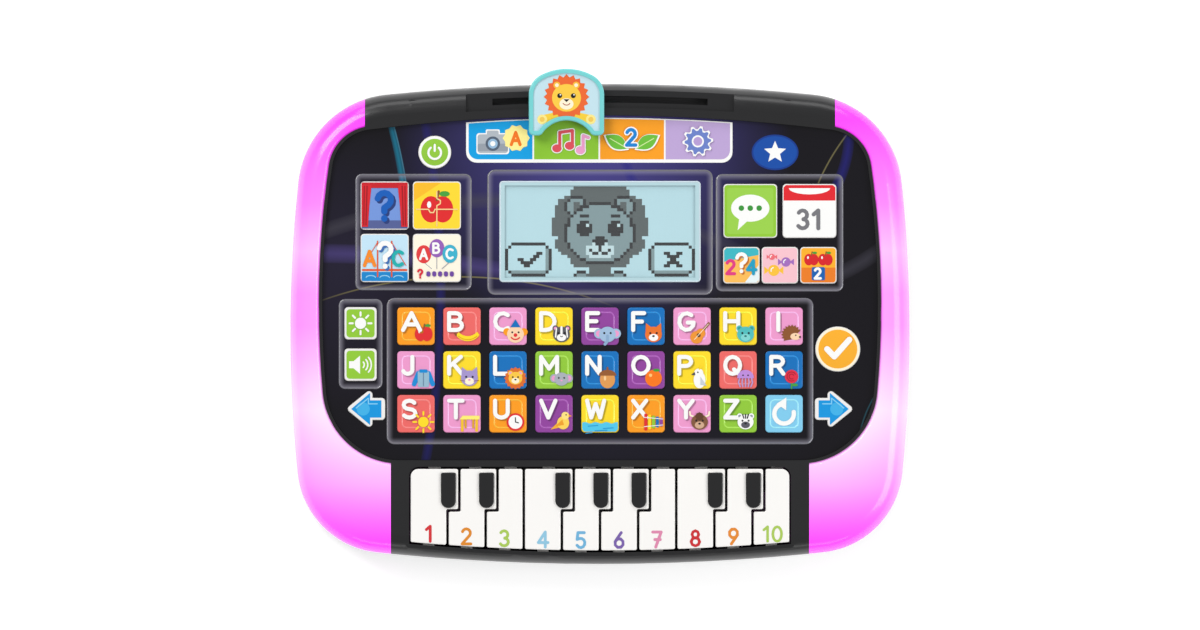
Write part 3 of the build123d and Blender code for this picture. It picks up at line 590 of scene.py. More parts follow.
def head(p, x, y, r, fur, ears="round", inner="pink", muzzle=None, nose="black"):
    """An animal's face, from the front."""
    for side in (-1, 1):
        if ears == "round":
            p.disc(x + side * 0.72 * r, y + 0.72 * r, 0.36 * r, fur, count=16)
            p.disc(x + side * 0.72 * r, y + 0.72 * r, 0.2 * r, inner, count=12)
        elif ears == "point":
            p.poly(
                [
                    (x + side * 0.2 * r, y + 0.8 * r), (x + side * 0.9 * r, y + 1.35 * r),
                    (x + side * 0.95 * r, y + 0.2 * r),
                ],
                fur,
            )
        elif ears == "wide":
            p.disc(x + side * 1.0 * r, y + 0.1 * r, 0.6 * r, fur, count=18)
            p.disc(x + side * 1.0 * r, y + 0.1 * r, 0.38 * r, inner, count=14)
    p.disc(x, y, r, fur, 0.92 * r)
    if muzzle:
        p.disc(x, y - 0.36 * r, 0.56 * r, muzzle, 0.42 * r, 18)
    eyes(p, x, y + 0.16 * r, r)
    p.disc(x, y - 0.2 * r, 0.16 * r, nose, 0.12 * r, 12)


def apple(p, x, y, r, colour="red"):
    for side in (-1, 1):
        p.disc(x + side * 0.38 * r, y, 0.68 * r, colour, 0.86 * r, 20)
    p.line([(x, y + 0.6 * r), (x + 0.12 * r, y + 1.15 * r)], 0.16 * r, "brown")
    p.disc(x + 0.5 * r, y + 1.0 * r, 0.34 * r, "leaf", 0.18 * r, 14)
    p.disc(x - 0.5 * r, y + 0.3 * r, 0.14 * r, "white", 0.22 * r, 10)


def banana(p, x, y, r):
    outer = arc(x - 0.2 * r, y + 0.9 * r, 1.7 * r, 1.7 * r, 215, 325)
    inner = arc(x - 0.2 * r, y + 1.25 * r, 1.45 * r, 1.45 * r, 320, 222)
    p.poly(outer + inner, "yellow")
    p.line([outer[0], (outer[0][0] - 0.1 * r, outer[0][1] + 0.2 * r)], 0.22 * r, "brown")
    p.line(arc(x - 0.2 * r, y + 1.0 * r, 1.62 * r, 1.62 * r, 228, 312), 0.08 * r, (224, 160, 20))


def clown(p, x, y, r):
    for side in (-1, 1):
        p.disc(x + side * r, y + 0.3 * r, 0.45 * r, "orange", count=16)
    p.disc(x, y, r, "skin")
    eyes(p, x, y + 0.25 * r, r, size=0.12)
    p.disc(x, y - 0.08 * r, 0.22 * r, "red", count=14)
    p.line(arc(x, y - 0.15 * r, 0.55 * r, 0.45 * r, 210, 330, 6), 0.16 * r, "red")
    p.poly([(x - 0.6 * r, y + 0.85 * r), (x + 0.6 * r, y + 0.85 * r), (x, y + 1.8 * r)], "blue")


def badger(p, x, y, r):
    head(p, x, y, r, (90, 90, 96), muzzle="white")
    for side in (-1, 1):
        p.line([(x + side * 0.7 * r, y - 0.3 * r), (x + side * 0.6 * r, y + 0.7 * r)], 0.16 * r, "white")
    p.line([(x, y - 0.1 * r), (x, y + 0.85 * r)], 0.26 * r, "white")


def elephant(p, x, y, r):
    head(p, x, y, r, (160, 190, 220), ears="wide", nose=(160, 190, 220))
    p.line([(x, y - 0.2 * r), (x, y - 0.8 * r), (x - 0.3 * r, y - 1.15 * r)], 0.36 * r, (140, 172, 206))


def fox(p, x, y, r):
    head(p, x, y, r, (236, 116, 40), ears="point", muzzle="white")


def guitar(p, x, y, r):
    p.line([(x, y), (x + 1.1 * r, y + 1.3 * r)], 0.3 * r, "brown")
    p.disc(x - 0.35 * r, y - 0.35 * r, 0.75 * r, (240, 150, 50), count=22)
    p.disc(x + 0.15 * r, y + 0.15 * r, 0.55 * r, (240, 150, 50), count=20)
    p.disc(x - 0.1 * r, y - 0.1 * r, 0.24 * r, (90, 50, 30), count=14)
    p.line([(x - 0.6 * r, y - 0.6 * r), (x + 1.05 * r, y + 1.25 * r)], 0.07 * r, "cream")


def hippo(p, x, y, r):
    head(p, x, y, r, (80, 190, 190), inner=(50, 150, 150), muzzle=(130, 214, 210), nose=(40, 120, 120))


def hedgehog(p, x, y, r):
    points = []
    for n in range(22):
        a = math.radians(20 + 200 * n / 21)
        k = 1.25 if n % 2 else 1.0
        points.append((x + k * r * math.cos(a), y + k * 0.95 * r * math.sin(a)))
    p.poly(points + [(x, y - 0.6 * r)], "brown")
    p.disc(x + 0.45 * r, y - 0.25 * r, 0.6 * r, "skin", 0.42 * r, 18)
    p.disc(x + 1.0 * r, y - 0.3 * r, 0.13 * r, "black", count=10)
    p.disc(x + 0.5 * r, y - 0.1 * r, 0.09 * r, "black", count=10)


def jacket(p, x, y, r):
    for side in (-1, 1):
        p.line(
            [(x + side * 0.6 * r, y + 0.6 * r), (x + side * 1.1 * r, y - 0.7 * r)], 0.55 * r, (20, 140, 214),
        )
    p.box(x, y - 0.1 * r, 1.35 * r, 1.9 * r, (150, 186, 206), 0.2 * r)
    p.line([(x, y - 0.9 * r), (x, y + 0.6 * r)], 0.1 * r, (90, 120, 150))
    p.box(x, y + 0.85 * r, 1.0 * r, 0.4 * r, (20, 140, 214), 0.15 * r)


def cat(p, x, y, r):
    head(p, x, y, r, (166, 150, 206), ears="point", muzzle="cream", nose="pink")
    for side in (-1, 1):
        p.line([(x + side * 0.5 * r, y - 0.35 * r), (x + side * 1.1 * r, y - 0.25 * r)], 0.06 * r, "brown")


def mane(p, x, y, r, colour, teeth=16):
    points = []
    for n in range(2 * teeth):
        a = math.pi * n / teeth
        k = 1.0 if n % 2 else 1.16
        points.append((x + k * r * math.cos(a), y + k * r * math.sin(a)))
    p.poly(points, colour)


def lion(p, x, y, r):
    mane(p, x, y, 1.15 * r, (224, 110, 40))
    head(p, x, y, 0.82 * r, (250, 200, 70), muzzle="cream")


def mouse(p, x, y, r):
    head(p, x, y - 0.1 * r, 0.85 * r, (170, 176, 186), ears="wide", nose="pink")


def nut(p, x, y, r):
    p.disc(x, y - 0.15 * r, 0.9 * r, (226, 156, 84), 1.05 * r, 22)
    p.poly(arc(x, y + 0.3 * r, 1.05 * r, 0.7 * r, 0, 180), (150, 90, 46))
    p.line([(x, y + 0.9 * r), (x, y + 1.25 * r)], 0.2 * r, (150, 90, 46))
    p.disc(x - 0.3 * r, y, 0.15 * r, (250, 206, 150), 0.3 * r, 12)


def orange(p, x, y, r):
    p.disc(x, y, r, (250, 120, 20))
    p.disc(x - 0.35 * r, y + 0.35 * r, 0.2 * r, (255, 200, 120), count=12)
    p.disc(x + 0.35 * r, y + 0.95 * r, 0.4 * r, "leaf", 0.18 * r, 14)


def parrot(p, x, y, r):
    p.disc(x, y - 0.2 * r, 0.7 * r, "white", 1.0 * r, 22)
    p.disc(x - 0.1 * r, y + 0.6 * r, 0.55 * r, "white", count=18)
    p.poly(
        [(x - 0.55 * r, y + 0.75 * r), (x - 1.0 * r, y + 0.4 * r), (x - 0.5 * r, y + 0.35 * r)], (70, 70, 80),
    )
    p.disc(x - 0.2 * r, y + 0.7 * r, 0.1 * r, "black", count=10)
    p.line([(x, y + 1.1 * r), (x + 0.3 * r, y + 1.5 * r)], 0.2 * r, "yellow")
    p.poly(
        [(x + 0.1 * r, y + 0.2 * r), (x + 0.85 * r, y - 0.9 * r), (x + 0.1 * r, y - 0.8 * r)],
        (200, 208, 216),
    )


def jellyfish(p, x, y, r):
    for n in (-2, -1, 0, 1, 2):
        p.line(
            [(x + 0.35 * n * r, y), (x + 0.42 * n * r, y - 0.5 * r), (x + 0.32 * n * r, y - 1.0 * r)],
            0.16 * r, "lilac",
        )
    p.poly(arc(x, y, r, 1.0 * r, 0, 180), (190, 140, 220))
    eyes(p, x, y + 0.35 * r, r, 0.3, 0.1)


def rose(p, x, y, r):
    p.line([(x, y), (x, y - 1.2 * r)], 0.18 * r, "leaf")
    p.disc(x + 0.4 * r, y - 0.8 * r, 0.35 * r, "leaf", 0.18 * r, 14)
    p.disc(x, y + 0.2 * r, 0.8 * r, (226, 44, 70), count=22)
    for k in (0.55, 0.3):
        p.line(arc(x, y + 0.2 * r, k * r, k * r, 30, 300, 8), 0.1 * r, (160, 20, 46))


def sun(p, x, y, r, colour="yellow", rays=8):
    for n in range(rays):
        a = 2 * math.pi * n / rays
        p.line(
            [
                (x + 0.85 * r * math.cos(a), y + 0.85 * r * math.sin(a)),
                (x + 1.2 * r * math.cos(a), y + 1.2 * r * math.sin(a)),
            ],
            0.22 * r, colour,
        )
    p.disc(x, y, 0.62 * r, colour, count=22)


def table(p, x, y, r):
    for side in (-1, 1):
        p.box(x + side * 0.85 * r, y - 0.4 * r, 0.32 * r, 1.5 * r, (246, 196, 40), 0.08 * r)
        p.box(x + side * 0.45 * r, y - 0.2 * r, 0.24 * r, 1.1 * r, (226, 166, 30), 0.08 * r)
    p.poly(
        [
            (x - 1.2 * r, y + 0.3 * r), (x + 1.2 * r, y + 0.3 * r), (x + 1.2 * r, y + 0.75 * r),
            (x - 0.8 * r, y + 0.75 * r),
        ],
        (255, 240, 120),
    )


def clock(p, x, y, r):
    p.disc(x, y, 1.05 * r, "red")
    p.disc(x, y, 0.82 * r, "white")
    p.line([(x, y + 0.5 * r), (x, y), (x + 0.35 * r, y - 0.1 * r)], 0.13 * r, "black")


def bird(p, x, y, r):
    p.poly(
        [(x - 0.1 * r, y + 0.3 * r), (x - 1.3 * r, y - 0.9 * r), (x + 0.1 * r, y - 0.6 * r)], (246, 178, 50),
    )
    p.disc(x + 0.2 * r, y - 0.1 * r, 0.72 * r, (254, 214, 90), 0.78 * r, 22)
    p.disc(x + 0.45 * r, y + 0.75 * r, 0.46 * r, (254, 226, 130), count=18)
    p.poly([(x + 0.85 * r, y + 0.9 * r), (x + 1.25 * r, y + 0.7 * r), (x + 0.85 * r, y + 0.6 * r)], "orange")
    p.disc(x + 0.55 * r, y + 0.85 * r, 0.09 * r, "black", count=10)
    p.poly(
        [(x + 0.1 * r, y + 0.3 * r), (x - 0.7 * r, y - 0.5 * r), (x + 0.3 * r, y - 0.35 * r)], (240, 160, 40),
    )


def water(p, x, y, r):
    """A pool that fills the lower part of the key."""
    x = 0
    wave = [(x + (k - 8) * 0.95, y - 0.1 * r + 0.35 * math.sin(k * 1.3)) for k in range(17)]
    p.poly([(-7.6, -6.6), (-6.6, -7.6), (6.6, -7.6), (7.6, -6.6)] + wave[::-1], (80, 200, 236))
    for k, (a, b) in enumerate(((-5, -1), (1.4, 5.6), (-2, 3), (-6, -3.4))):
        p.line([(a, y - (0.5 + 0.28 * k) * r), (b, y - (0.5 + 0.28 * k) * r + 0.3)], 0.4, (30, 150, 210))


def xylophone(p, x, y, r):
    for n, colour in enumerate(("red", "yellow", "green", "blue", "purple")):
        p.box(x + (n - 2) * 0.46 * r, y, 0.36 * r, (2.0 - 0.24 * n) * r, colour, 0.12 * r)
    for side in (-1, 1):
        p.line([(x - 1.1 * r, y + side * 0.55 * r), (x + 1.1 * r, y + side * 0.35 * r)], 0.08 * r, "white")


def yak(p, x, y, r):
    for side in (-1, 1):
        p.line(
            [
                (x + side * 0.6 * r, y + 0.6 * r), (x + side * 1.1 * r, y + 0.8 * r),
                (x + side * 1.15 * r, y + 1.2 * r),
            ],
            0.2 * r, "cream",
        )
    head(p, x, y, r, (130, 88, 60), ears="none", muzzle=(210, 170, 140))
    mane(p, x, y + 0.65 * r, 0.45 * r, (96, 62, 40), 8)


def zebra(p, x, y, r):
    head(p, x, y, 0.95 * r, "white", inner="grey", muzzle=(90, 90, 100))
    for n in (-1, 0, 1):
        p.line([(x + 0.35 * n * r, y + 0.9 * r), (x + 0.2 * n * r, y + 0.45 * r)], 0.14 * r, "black")


PICTURES = {
    "a": apple, "b": banana, "c": clown, "d": badger, "e": elephant, "f": fox, "g": guitar,
    "h": hippo, "i": hedgehog, "j": jacket, "k": cat, "l": lion, "m": mouse, "n": nut,
    "o": orange, "p": parrot, "q": jellyfish, "r": rose, "s": sun, "t": table, "u": clock,
    "v": bird, "w": water, "x": xylophone, "y": yak, "z": zebra,
}


# ---- What each node is made of -------------------------------------------------------------------
def slot_of(node):
    return next(s["material_slot"] for s in RECORD["subparts"] if s["node"] == node)


def paint(node, *materials):
    obj = NODES[node]
    obj.data.materials.clear()
    for material in materials:
        obj.data.materials.append(material)
    for polygon in obj.data.polygons:
        polygon.material_index = 0
    return obj


def centre(node):
    low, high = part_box(node)
    return (low[0] + high[0]) / 2 / MM, (low[1] + high[1]) / 2 / MM, high[2] / MM


def key_plastic(colour):
    return surface("key_" + colour, INKS[colour], rough=0.28, bump=0.04, coat=0.25, spec=0.4, vary=0.05)


PLASTIC_COLOURS = ("orange", "coral", "pink", "yellow", "purple", "blue", "green", "light_blue")
KEY_PLASTIC = {name: key_plastic(name) for name in PLASTIC_COLOURS}
# Painted highlight: each key's raised bead is a lighter tone of its key colour, standing in for the glints on
# the embossed ridge.
KEY_GLINT = {
    name: surface(
        "glint_" + name, [min(255, v + 34) for v in INKS[name]], rough=0.15, coat=0.5, bump=0.02,
    ) for name in KEY_PLASTIC
}
WIDE = {"a": 1.4, "m": 1.25, "w": 1.1, "o": 1.1, "q": 1.05, "c": 1.15, "g": 1.1, "l": 1.35, "n": 1.2}
KEY_WHITE = surface("key_rim", (242, 240, 238), rough=0.3, coat=0.2, bump=0.04)
SLOT_SURFACES = {m["slot"]: node_surface(m["slot"]) for m in RECORD["materials"]}
CASE = case_black()
GRIP = grip_glow()
PANEL = panel_film()
SPECIAL = {
    "case_black": CASE, "grip_glow": GRIP, "panel_film": PANEL, "clear_window": clear_plastic(),
    "lcd_glass": lcd_grey(),
}
for node in NODES:
    paint(node, SPECIAL.get(slot_of(node)) or SLOT_SURFACES[slot_of(node)])


def letter_keys():
    for letter, picture in PICTURES.items():
        node = "key_" + letter
        colour = slot_of(node)[4:]
        paint(node, KEY_PLASTIC[colour])
        x, y, z = centre(node)
        p = Print("print_" + node, node, x, y, z, slot_of(node))
        p.ridge(0, 0, 12.4, 12.4, 2.2, 0.6, 0.12, KEY_GLINT[colour])
        p.z = 0.16
        if letter == "a":
            picture(p, 3.3, -3.3, 3.6)
        p.word(
            letter, -3.4 if letter == "i" else -5.5, -1.6, 7.2, 1.75, "white", shade(INKS[colour], 0.74),
            WIDE.get(letter, 1.25),
        )
        if letter != "a":
            picture(p, 3.2, -3.5, 3.6)
        p.done()


def repeat_key():
    paint("key_repeat", KEY_PLASTIC["light_blue"])
    x, y, z = centre("key_repeat")
    p = Print("print_key_repeat", "key_repeat", x, y, z, "key_light_blue")
    p.ridge(0, 0, 12.4, 12.4, 2.2, 0.6, 0.12, KEY_GLINT["light_blue"])
    p.z = 0.16
    p.line(arc(0, 0, 4.2, 4.2, 95, 370, 16), 1.9, "white")
    p.poly([(-3.2, 4.3), (1.0, 7.0), (0.9, 1.5)], "white")
    p.done()


def round_path(r, count=40):
    return arc(0, 0, r, r, 0, 360 - 360 / count, count - 1)


def dome(p, r, height, colour, count=40, rings=8):
    """A low lens-shaped cap."""
    index = p._ink(colour)
    loops = []
    for n in range(rings + 1):
        k = n / rings
        z = LIFT + height * (1 - k * k)
        loops.append([(px * k, py * k, z) for px, py in round_path(r, count)])
    for inner, outer in zip(loops, loops[1:]):
        for n in range(count):
            m = (n + 1) % count
            start = len(p.verts)
            p.verts += [outer[n], outer[m], inner[m], inner[n]]
            p.faces.append((start, start + 1, start + 2, start + 3))
            p.face_ink.append(index)
    p.z = LIFT + height


def round_keys():
    for node, rim, fill in (("key_power", "white", "green"), ("key_ok", "cream", (253, 178, 38))):
        paint(node, KEY_WHITE)
        x, y, z = centre(node)
        low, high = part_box(node)
        r = (high[0] - low[0]) / 2 / MM - 0.8
        p = Print("print_" + node, node, x, y, z, slot_of(node))
        p.ring(round_path(r - 0.35), round_path(r - 1.3), rim)
        dome(p, r - 1.2, 0.5, surface(node + "_fill", INKS.get(fill, fill), rough=0.25, bump=0.03, coat=0.3))
        if node == "key_power":
            p.line(arc(0, -0.2, 2.7, 2.7, 130, 410, 16), 0.95, "white")
            p.line([(0, 0.6), (0, 3.1)], 0.95, "white")
        else:
            p.line([(-4.6, 0.0), (-1.5, -3.2), (4.9, 4.0)], 2.5, "white")
        p.done()


def arrow_points(direction, k=1.0):
    points = [(7.6, 0), (-1.8, 8.0), (-1.8, 4.3), (-7.4, 4.3), (-7.4, -4.3), (-1.8, -4.3), (-1.8, -8.0)]
    return [(direction * px * k, py * k) for px, py in points]


def arrow_keys():
    for node, direction in (("key_previous", -1), ("key_next", 1)):
        paint(node, KEY_WHITE)
        x, y, z = centre(node)
        p = Print("print_" + node, node, x, y, z, "key_blue")
        p.poly(arrow_points(direction, 0.86), (8, 150, 222))
        # Painted highlight: a paler disc in the middle of the arrow and a pale line along its upper edge.
        p.disc(direction * 1.4, 0, 2.8, (64, 178, 232), count=24)
        p.line(
            [(direction * a, b) for a, b in ((-4.6, 2.2), (-0.8, 2.2), (-0.8, 4.6), (4.4, 0.4))], 0.5,
            (130, 206, 244),
        )
        p.done()


def setting_keys():
    for node in ("key_brightness", "key_volume"):
        paint(node, KEY_WHITE)
        x, y, z = centre(node)
        p = Print("print_" + node, node, x, y, z, "key_green")
        p.box(0, 0, 12.0, 12.0, "green", 1.4)
        if node == "key_brightness":
            sun(p, 0, 0, 3.9, "white")
        else:
            p.poly([(-4.9, 1.5), (-3.0, 1.5), (-0.2, 3.9), (-0.2, -3.9), (-3.0, -1.5), (-4.9, -1.5)], "white")
            for r in (1.7, 3.2, 4.7):
                p.line(arc(-0.1, 0, r, r, -42, 42, 8), 0.62, "white")
        p.done()


def curtains(p, s):
    p.box(0, 0, s, s, (116, 150, 218), 1.2)
    p.box(0, -s * 0.41, s, s * 0.18, (84, 96, 150), 0.5)
    p.word("?", -3.0, -5.6, 11.0, 2.7, (14, 92, 184), (40, 60, 120))
    p.box(0, s * 0.44, s, s * 0.12, (200, 30, 40), 0.5)
    for side in (-1, 1):
        edge = side * s / 2
        fold = [
            (edge, s * 0.45), (edge - side * s * 0.22, s * 0.45), (edge - side * s * 0.17, 0),
            (edge - side * s * 0.14, -s * 0.46), (edge, -s * 0.46),
        ]
        p.poly(fold, (216, 34, 44))
        for k in (0.06, 0.12):
            p.line(
                [(edge - side * s * k, s * 0.42), (edge - side * s * k * 0.8, -s * 0.42)], 0.5, (156, 16, 30),
            )


def jigsaw(p, s):
    p.box(0, 0, s, s, (254, 218, 50), 1.2)
    p.poly([(-s / 2, s * 0.1), (s * 0.1, s / 2), (-s / 2 + 1, s / 2), (-s / 2, s / 2 - 1)], (250, 190, 40))
    apple(p, 0, -1.6, 6.6, (224, 40, 42))
    seam = (250, 214, 150)
    p.line([(0, s * 0.3), (0, 3.0), (1.5, 2.2), (1.5, 0.8), (0, 0), (0, -s * 0.44)], 0.5, seam)
    p.line(
        [(-s * 0.44, -1.6), (-3.6, -1.6), (-2.8, -3.0), (-1.4, -3.0), (-0.8, -1.6), (s * 0.44, -1.6)], 0.5,
        seam,
    )


def bridge(p, s):
    p.box(0, 0, s, s, (196, 228, 246), 1.2)
    p.box(0, -s * 0.4, s, s * 0.2, (20, 134, 204), 0.6)
    for k in (-0.3, 0.0, 0.3):
        p.line(arc(k * s, -s * 0.42, 2.0, 0.8, 0, 180, 6), 0.4, (150, 210, 240))
    road = (226, 90, 50)
    p.line([(-s * 0.47, -s * 0.26), (s * 0.47, -s * 0.26)], 0.9, road)
    for side in (-1, 1):
        p.line([(side * 3.0, -s * 0.4), (side * 3.0, s * 0.36)], 0.6, road)
        p.line([(side * 3.0, s * 0.34), (side * s * 0.46, -s * 0.16)], 0.35, road)
    p.word("a", -8.6, -3.2, 6.0, 1.5, (246, 140, 40))
    p.word("?", -2.4, -3.6, 10.0, 2.1, "white", (60, 110, 180))
    p.word("c", 3.6, -3.2, 6.0, 1.5, (30, 176, 176))


def balloons(p, s):
    p.box(0, 0, s, s, (255, 246, 226), 1.2)
    for x, y, colour, letter in (
        (-5.6, 1.6, (226, 60, 62), "a"), (0.0, 4.2, (150, 96, 184), "b"), (5.6, 1.8, (60, 178, 206), "c"),
    ):
        p.line([(x, y - 3.4), (x * 0.4, -4.6)], 0.3, "grey")
        p.disc(x, y, 3.2, colour, 3.9, 24)
        p.word(letter, x - 1.5, y - 2.0, 4.0, 1.0, "white")
    p.word("?", -8.0, -8.4, 3.4, 0.9, (220, 40, 60))
    for k in range(5):
        p.box(-3.6 + k * 2.5, -6.8, 1.7, 2.2, (110, 70, 160), 0.7)


def bubble(p, s):
    p.box(0, 0, s, s, "green", 1.4)
    p.box(0, 0, s - 2.4, s - 2.4, (156, 210, 76), 1.2)
    p.poly([(-4.6, -2.4), (0.6, -2.6), (-5.4, -8.2)], "white")
    p.disc(0, 1.2, 8.2, "white", 5.8)
    for n in (-1, 0, 1):
        p.disc(3.8 * n, 1.2, 1.2, (60, 150, 60), count=16)


def calendar(p, s):
    p.box(0, 0, s, s, "white", 1.2)
    p.poly(
        [
            (-s / 2, s * 0.2), (s / 2, s * 0.2), (s / 2, s / 2 - 1.0), (s / 2 - 1, s / 2), (1 - s / 2, s / 2),
            (-s / 2, s / 2 - 1),
        ],
        (226, 36, 46),
    )
    p.poly(arc(0, s * 0.44, s * 0.4, s * 0.12, 180, 360, 10), "white")
    p.word("31", -4.9, -7.4, 7.6, 1.7, (120, 120, 124))


def sums(p, s):
    p.box(0, 0, s, s, (252, 190, 90), 1.2)
    p.poly(
        [
            (-s / 2, s * 0.1), (s / 2, s * 0.3), (s / 2, s / 2 - 1), (s / 2 - 1, s / 2), (1 - s / 2, s / 2),
            (-s / 2, s / 2 - 1),
        ],
        (60, 184, 196),
    )
    p.poly([(s * 0.1, -s / 2), (s / 2 - 1, -s / 2), (s / 2, 1 - s / 2), (s / 2, 0)], (232, 244, 246))
    p.word("2", -6.2, -3.6, 5.6, 1.4, (226, 60, 130))
    p.word("?", -1.9, -2.6, 7.4, 1.6, "white", (200, 110, 30))
    p.word("4", 2.6, -3.6, 5.6, 1.4, (30, 160, 196))


def candies(p, s):
    p.box(0, 0, s, s, (248, 196, 206), 1.2)
    for x, y, r, colour in (
        (-2.6, -2.2, 2.4, (252, 196, 60)), (2.6, 1.4, 2.0, (164, 110, 190)),
        (-3.4, 3.6, 1.3, (240, 110, 120)),
    ):
        for side in (-1, 1):
            p.poly(
                [
                    (x + side * r * 0.8, y), (x + side * r * 1.7, y + r * 0.7),
                    (x + side * r * 1.7, y - r * 0.7),
                ],
                colour,
            )
        p.disc(x, y, r, colour, count=22)
        p.line(arc(x, y, r * 0.5, r * 0.5, 100, 200, 5), 0.45, "white")


def pairs(p, s):
    p.box(0, 0, s, s, (252, 178, 40), 1.2)
    p.poly(
        [
            (-s / 2, -s / 2 + 1), (1 - s / 2, -s / 2), (s / 2 - 1, -s / 2), (s / 2, -s / 2 + 1),
            (s / 2, -1.0), (-s / 2, -1.0),
        ],
        (236, 126, 34),
    )
    apple(p, -3.0, 2.4, 2.9, (216, 34, 40))
    apple(p, 3.0, 2.4, 2.9, (216, 34, 40))
    p.box(0, -3.6, 5.6, 5.6, (14, 96, 176), 0.6)
    p.word("2", -1.5, -5.6, 4.2, 1.1, "white")


def merged(spans):
    """Overlapping (low, high) spans joined into longer ones, in order."""
    runs = []
    for low, high in sorted(spans):
        if runs and low <= runs[-1][1] + 0.0001:
            runs[-1][1] = max(runs[-1][1], high)
        else:
            runs.append([low, high])
    return runs


def activity_prints():
    obj = paint("activity_keys", KEY_WHITE)
    mesh = obj.data
    top = max(v.co.z for v in mesh.vertices)
    boxes = []
    for polygon in mesh.polygons:
        corners = [mesh.vertices[k].co for k in polygon.vertices]
        if min(c.z for c in corners) > top - 0.00002:
            xs, ys = [c.x for c in corners], [c.y for c in corners]
            boxes.append((min(xs), max(xs), min(ys), max(ys)))
    arts = {
        (-1, 1, 0): curtains, (-1, 1, 1): jigsaw, (-1, 0, 0): bridge, (-1, 0, 1): balloons,
        (1, 1, 0): bubble, (1, 1, 1): calendar, (1, 0, 0): sums, (1, 0, 1): candies, (1, 0, 2): pairs,
    }
    for side in (-1, 1):
        half = [b for b in boxes if b[0] * side > 0]
        for row, (low_y, high_y) in enumerate(merged([b[2:] for b in half])):
            band = [b for b in half if low_y - 1e-6 <= b[2] <= high_y]
            for column, (low_x, high_x) in enumerate(merged([b[:2] for b in band])):
                draw = arts[side, row, column]
                at = (low_x + high_x) / 2 / MM, (low_y + high_y) / 2 / MM
                p = Print("print_" + draw.__name__, "case", *at, top / MM, "key_mixed")
                draw(p, (high_y - low_y) / MM - 0.3)
                p.done()


# ---- Printed on the panel ------------------------------------------------------------------------
def camera_icon(p, x, y):
    for grow, colour in ((1.0, "white"), (0, (176, 184, 192))):
        p.box(x - 3.4, y - 1.0, 13.0 + grow, 8.0 + grow, colour, 1.2)
        p.box(x - 3.4, y + 3.4, 5.0 + grow, 2.4 + grow, colour, 0.6)
    p.box(x - 3.4, y - 2.6, 13.0, 3.2, (150, 158, 168), 0.8)
    p.disc(x - 3.4, y - 1.0, 3.1, (84, 98, 116), count=24)
    p.disc(x - 3.4, y - 1.0, 2.1, (150, 186, 216), count=22)
    p.disc(x - 3.4, y - 1.0, 1.1, "white", count=16)
    mane(p, x + 6.6, y + 1.4, 5.0, (255, 240, 150), 10)
    p.word("a", x + 4.5, y - 1.4, 5.2, 1.35, (244, 120, 30))


def notes_icon(p, x, y):
    strokes = (
        ((224, 80, 92), [(-2.6, -2.6), (-2.6, 3.8), (2.8, 4.6), (2.8, -1.4)], ((-3.8, -3.0), (1.6, -1.9))),
        ((240, 160, 204), [(7.4, -3.4), (7.4, 2.4), (9.6, 1.6)], ((6.2, -3.8),)),
    )
    for grow in (0.9, 0.0):
        for colour, stem, heads in strokes:
            tone = "white" if grow else colour
            p.line([(x + dx, y + dy) for dx, dy in stem], 1.3 + grow, tone)
            for dx, dy in heads:
                p.disc(x + dx, y + dy, 2.0 + grow / 2, tone, 1.7 + grow / 2, 20)


LEAF_STEPS = 16
LEAF_HALF_WIDTH = 0.26  # of its length


def leaf_shape(p, x, y, length, angle, colour):
    a = math.radians(angle)
    points = []
    for n in range(LEAF_STEPS + 1):
        t = n / LEAF_STEPS
        w = LEAF_HALF_WIDTH * length * math.sin(math.pi * t)
        points.append((t * length, w))
    points += [(px, -py) for px, py in points[::-1][1:-1]]
    c, s = math.cos(a), math.sin(a)
    p.poly([(x + px * c - py * s, y + px * s + py * c) for px, py in points], colour)


def leaves_icon(p, x, y):
    for angle, tip in ((150, -1), (30, 1)):
        leaf_shape(p, x + tip * 1.2, y - 3.6, 12.6, angle, "white")
        leaf_shape(p, x + tip * 1.6, y - 3.1, 11.2, angle, (110, 190, 60))
        a = math.radians(angle)
        p.line(
            [(x + tip * 2, y - 3.0), (x + tip * 2 + 8.5 * math.cos(a), y - 3.0 + 8.5 * math.sin(a))], 0.35,
            (220, 240, 170),
        )
    p.word("2", x - 2.2, y - 1.6, 6.6, 2.6, "white")
    p.word("2", x - 2.2, y - 1.6, 6.6, 1.5, (24, 130, 210))


def gear_icon(p, x, y):
    for k, colour in ((1.0, "white"), (0.86, (108, 130, 200))):
        points = []
        for n in range(40):
            a = 2 * math.pi * n / 40
            r = (6.6 if n % 4 < 2 else 5.2) * k
            points.append((x + r * math.cos(a), y + r * math.sin(a)))
        p.poly(points, colour)
    p.disc(x, y, 2.6, "white", count=24)
    p.disc(x, y, 1.9, (182, 156, 212), count=22)


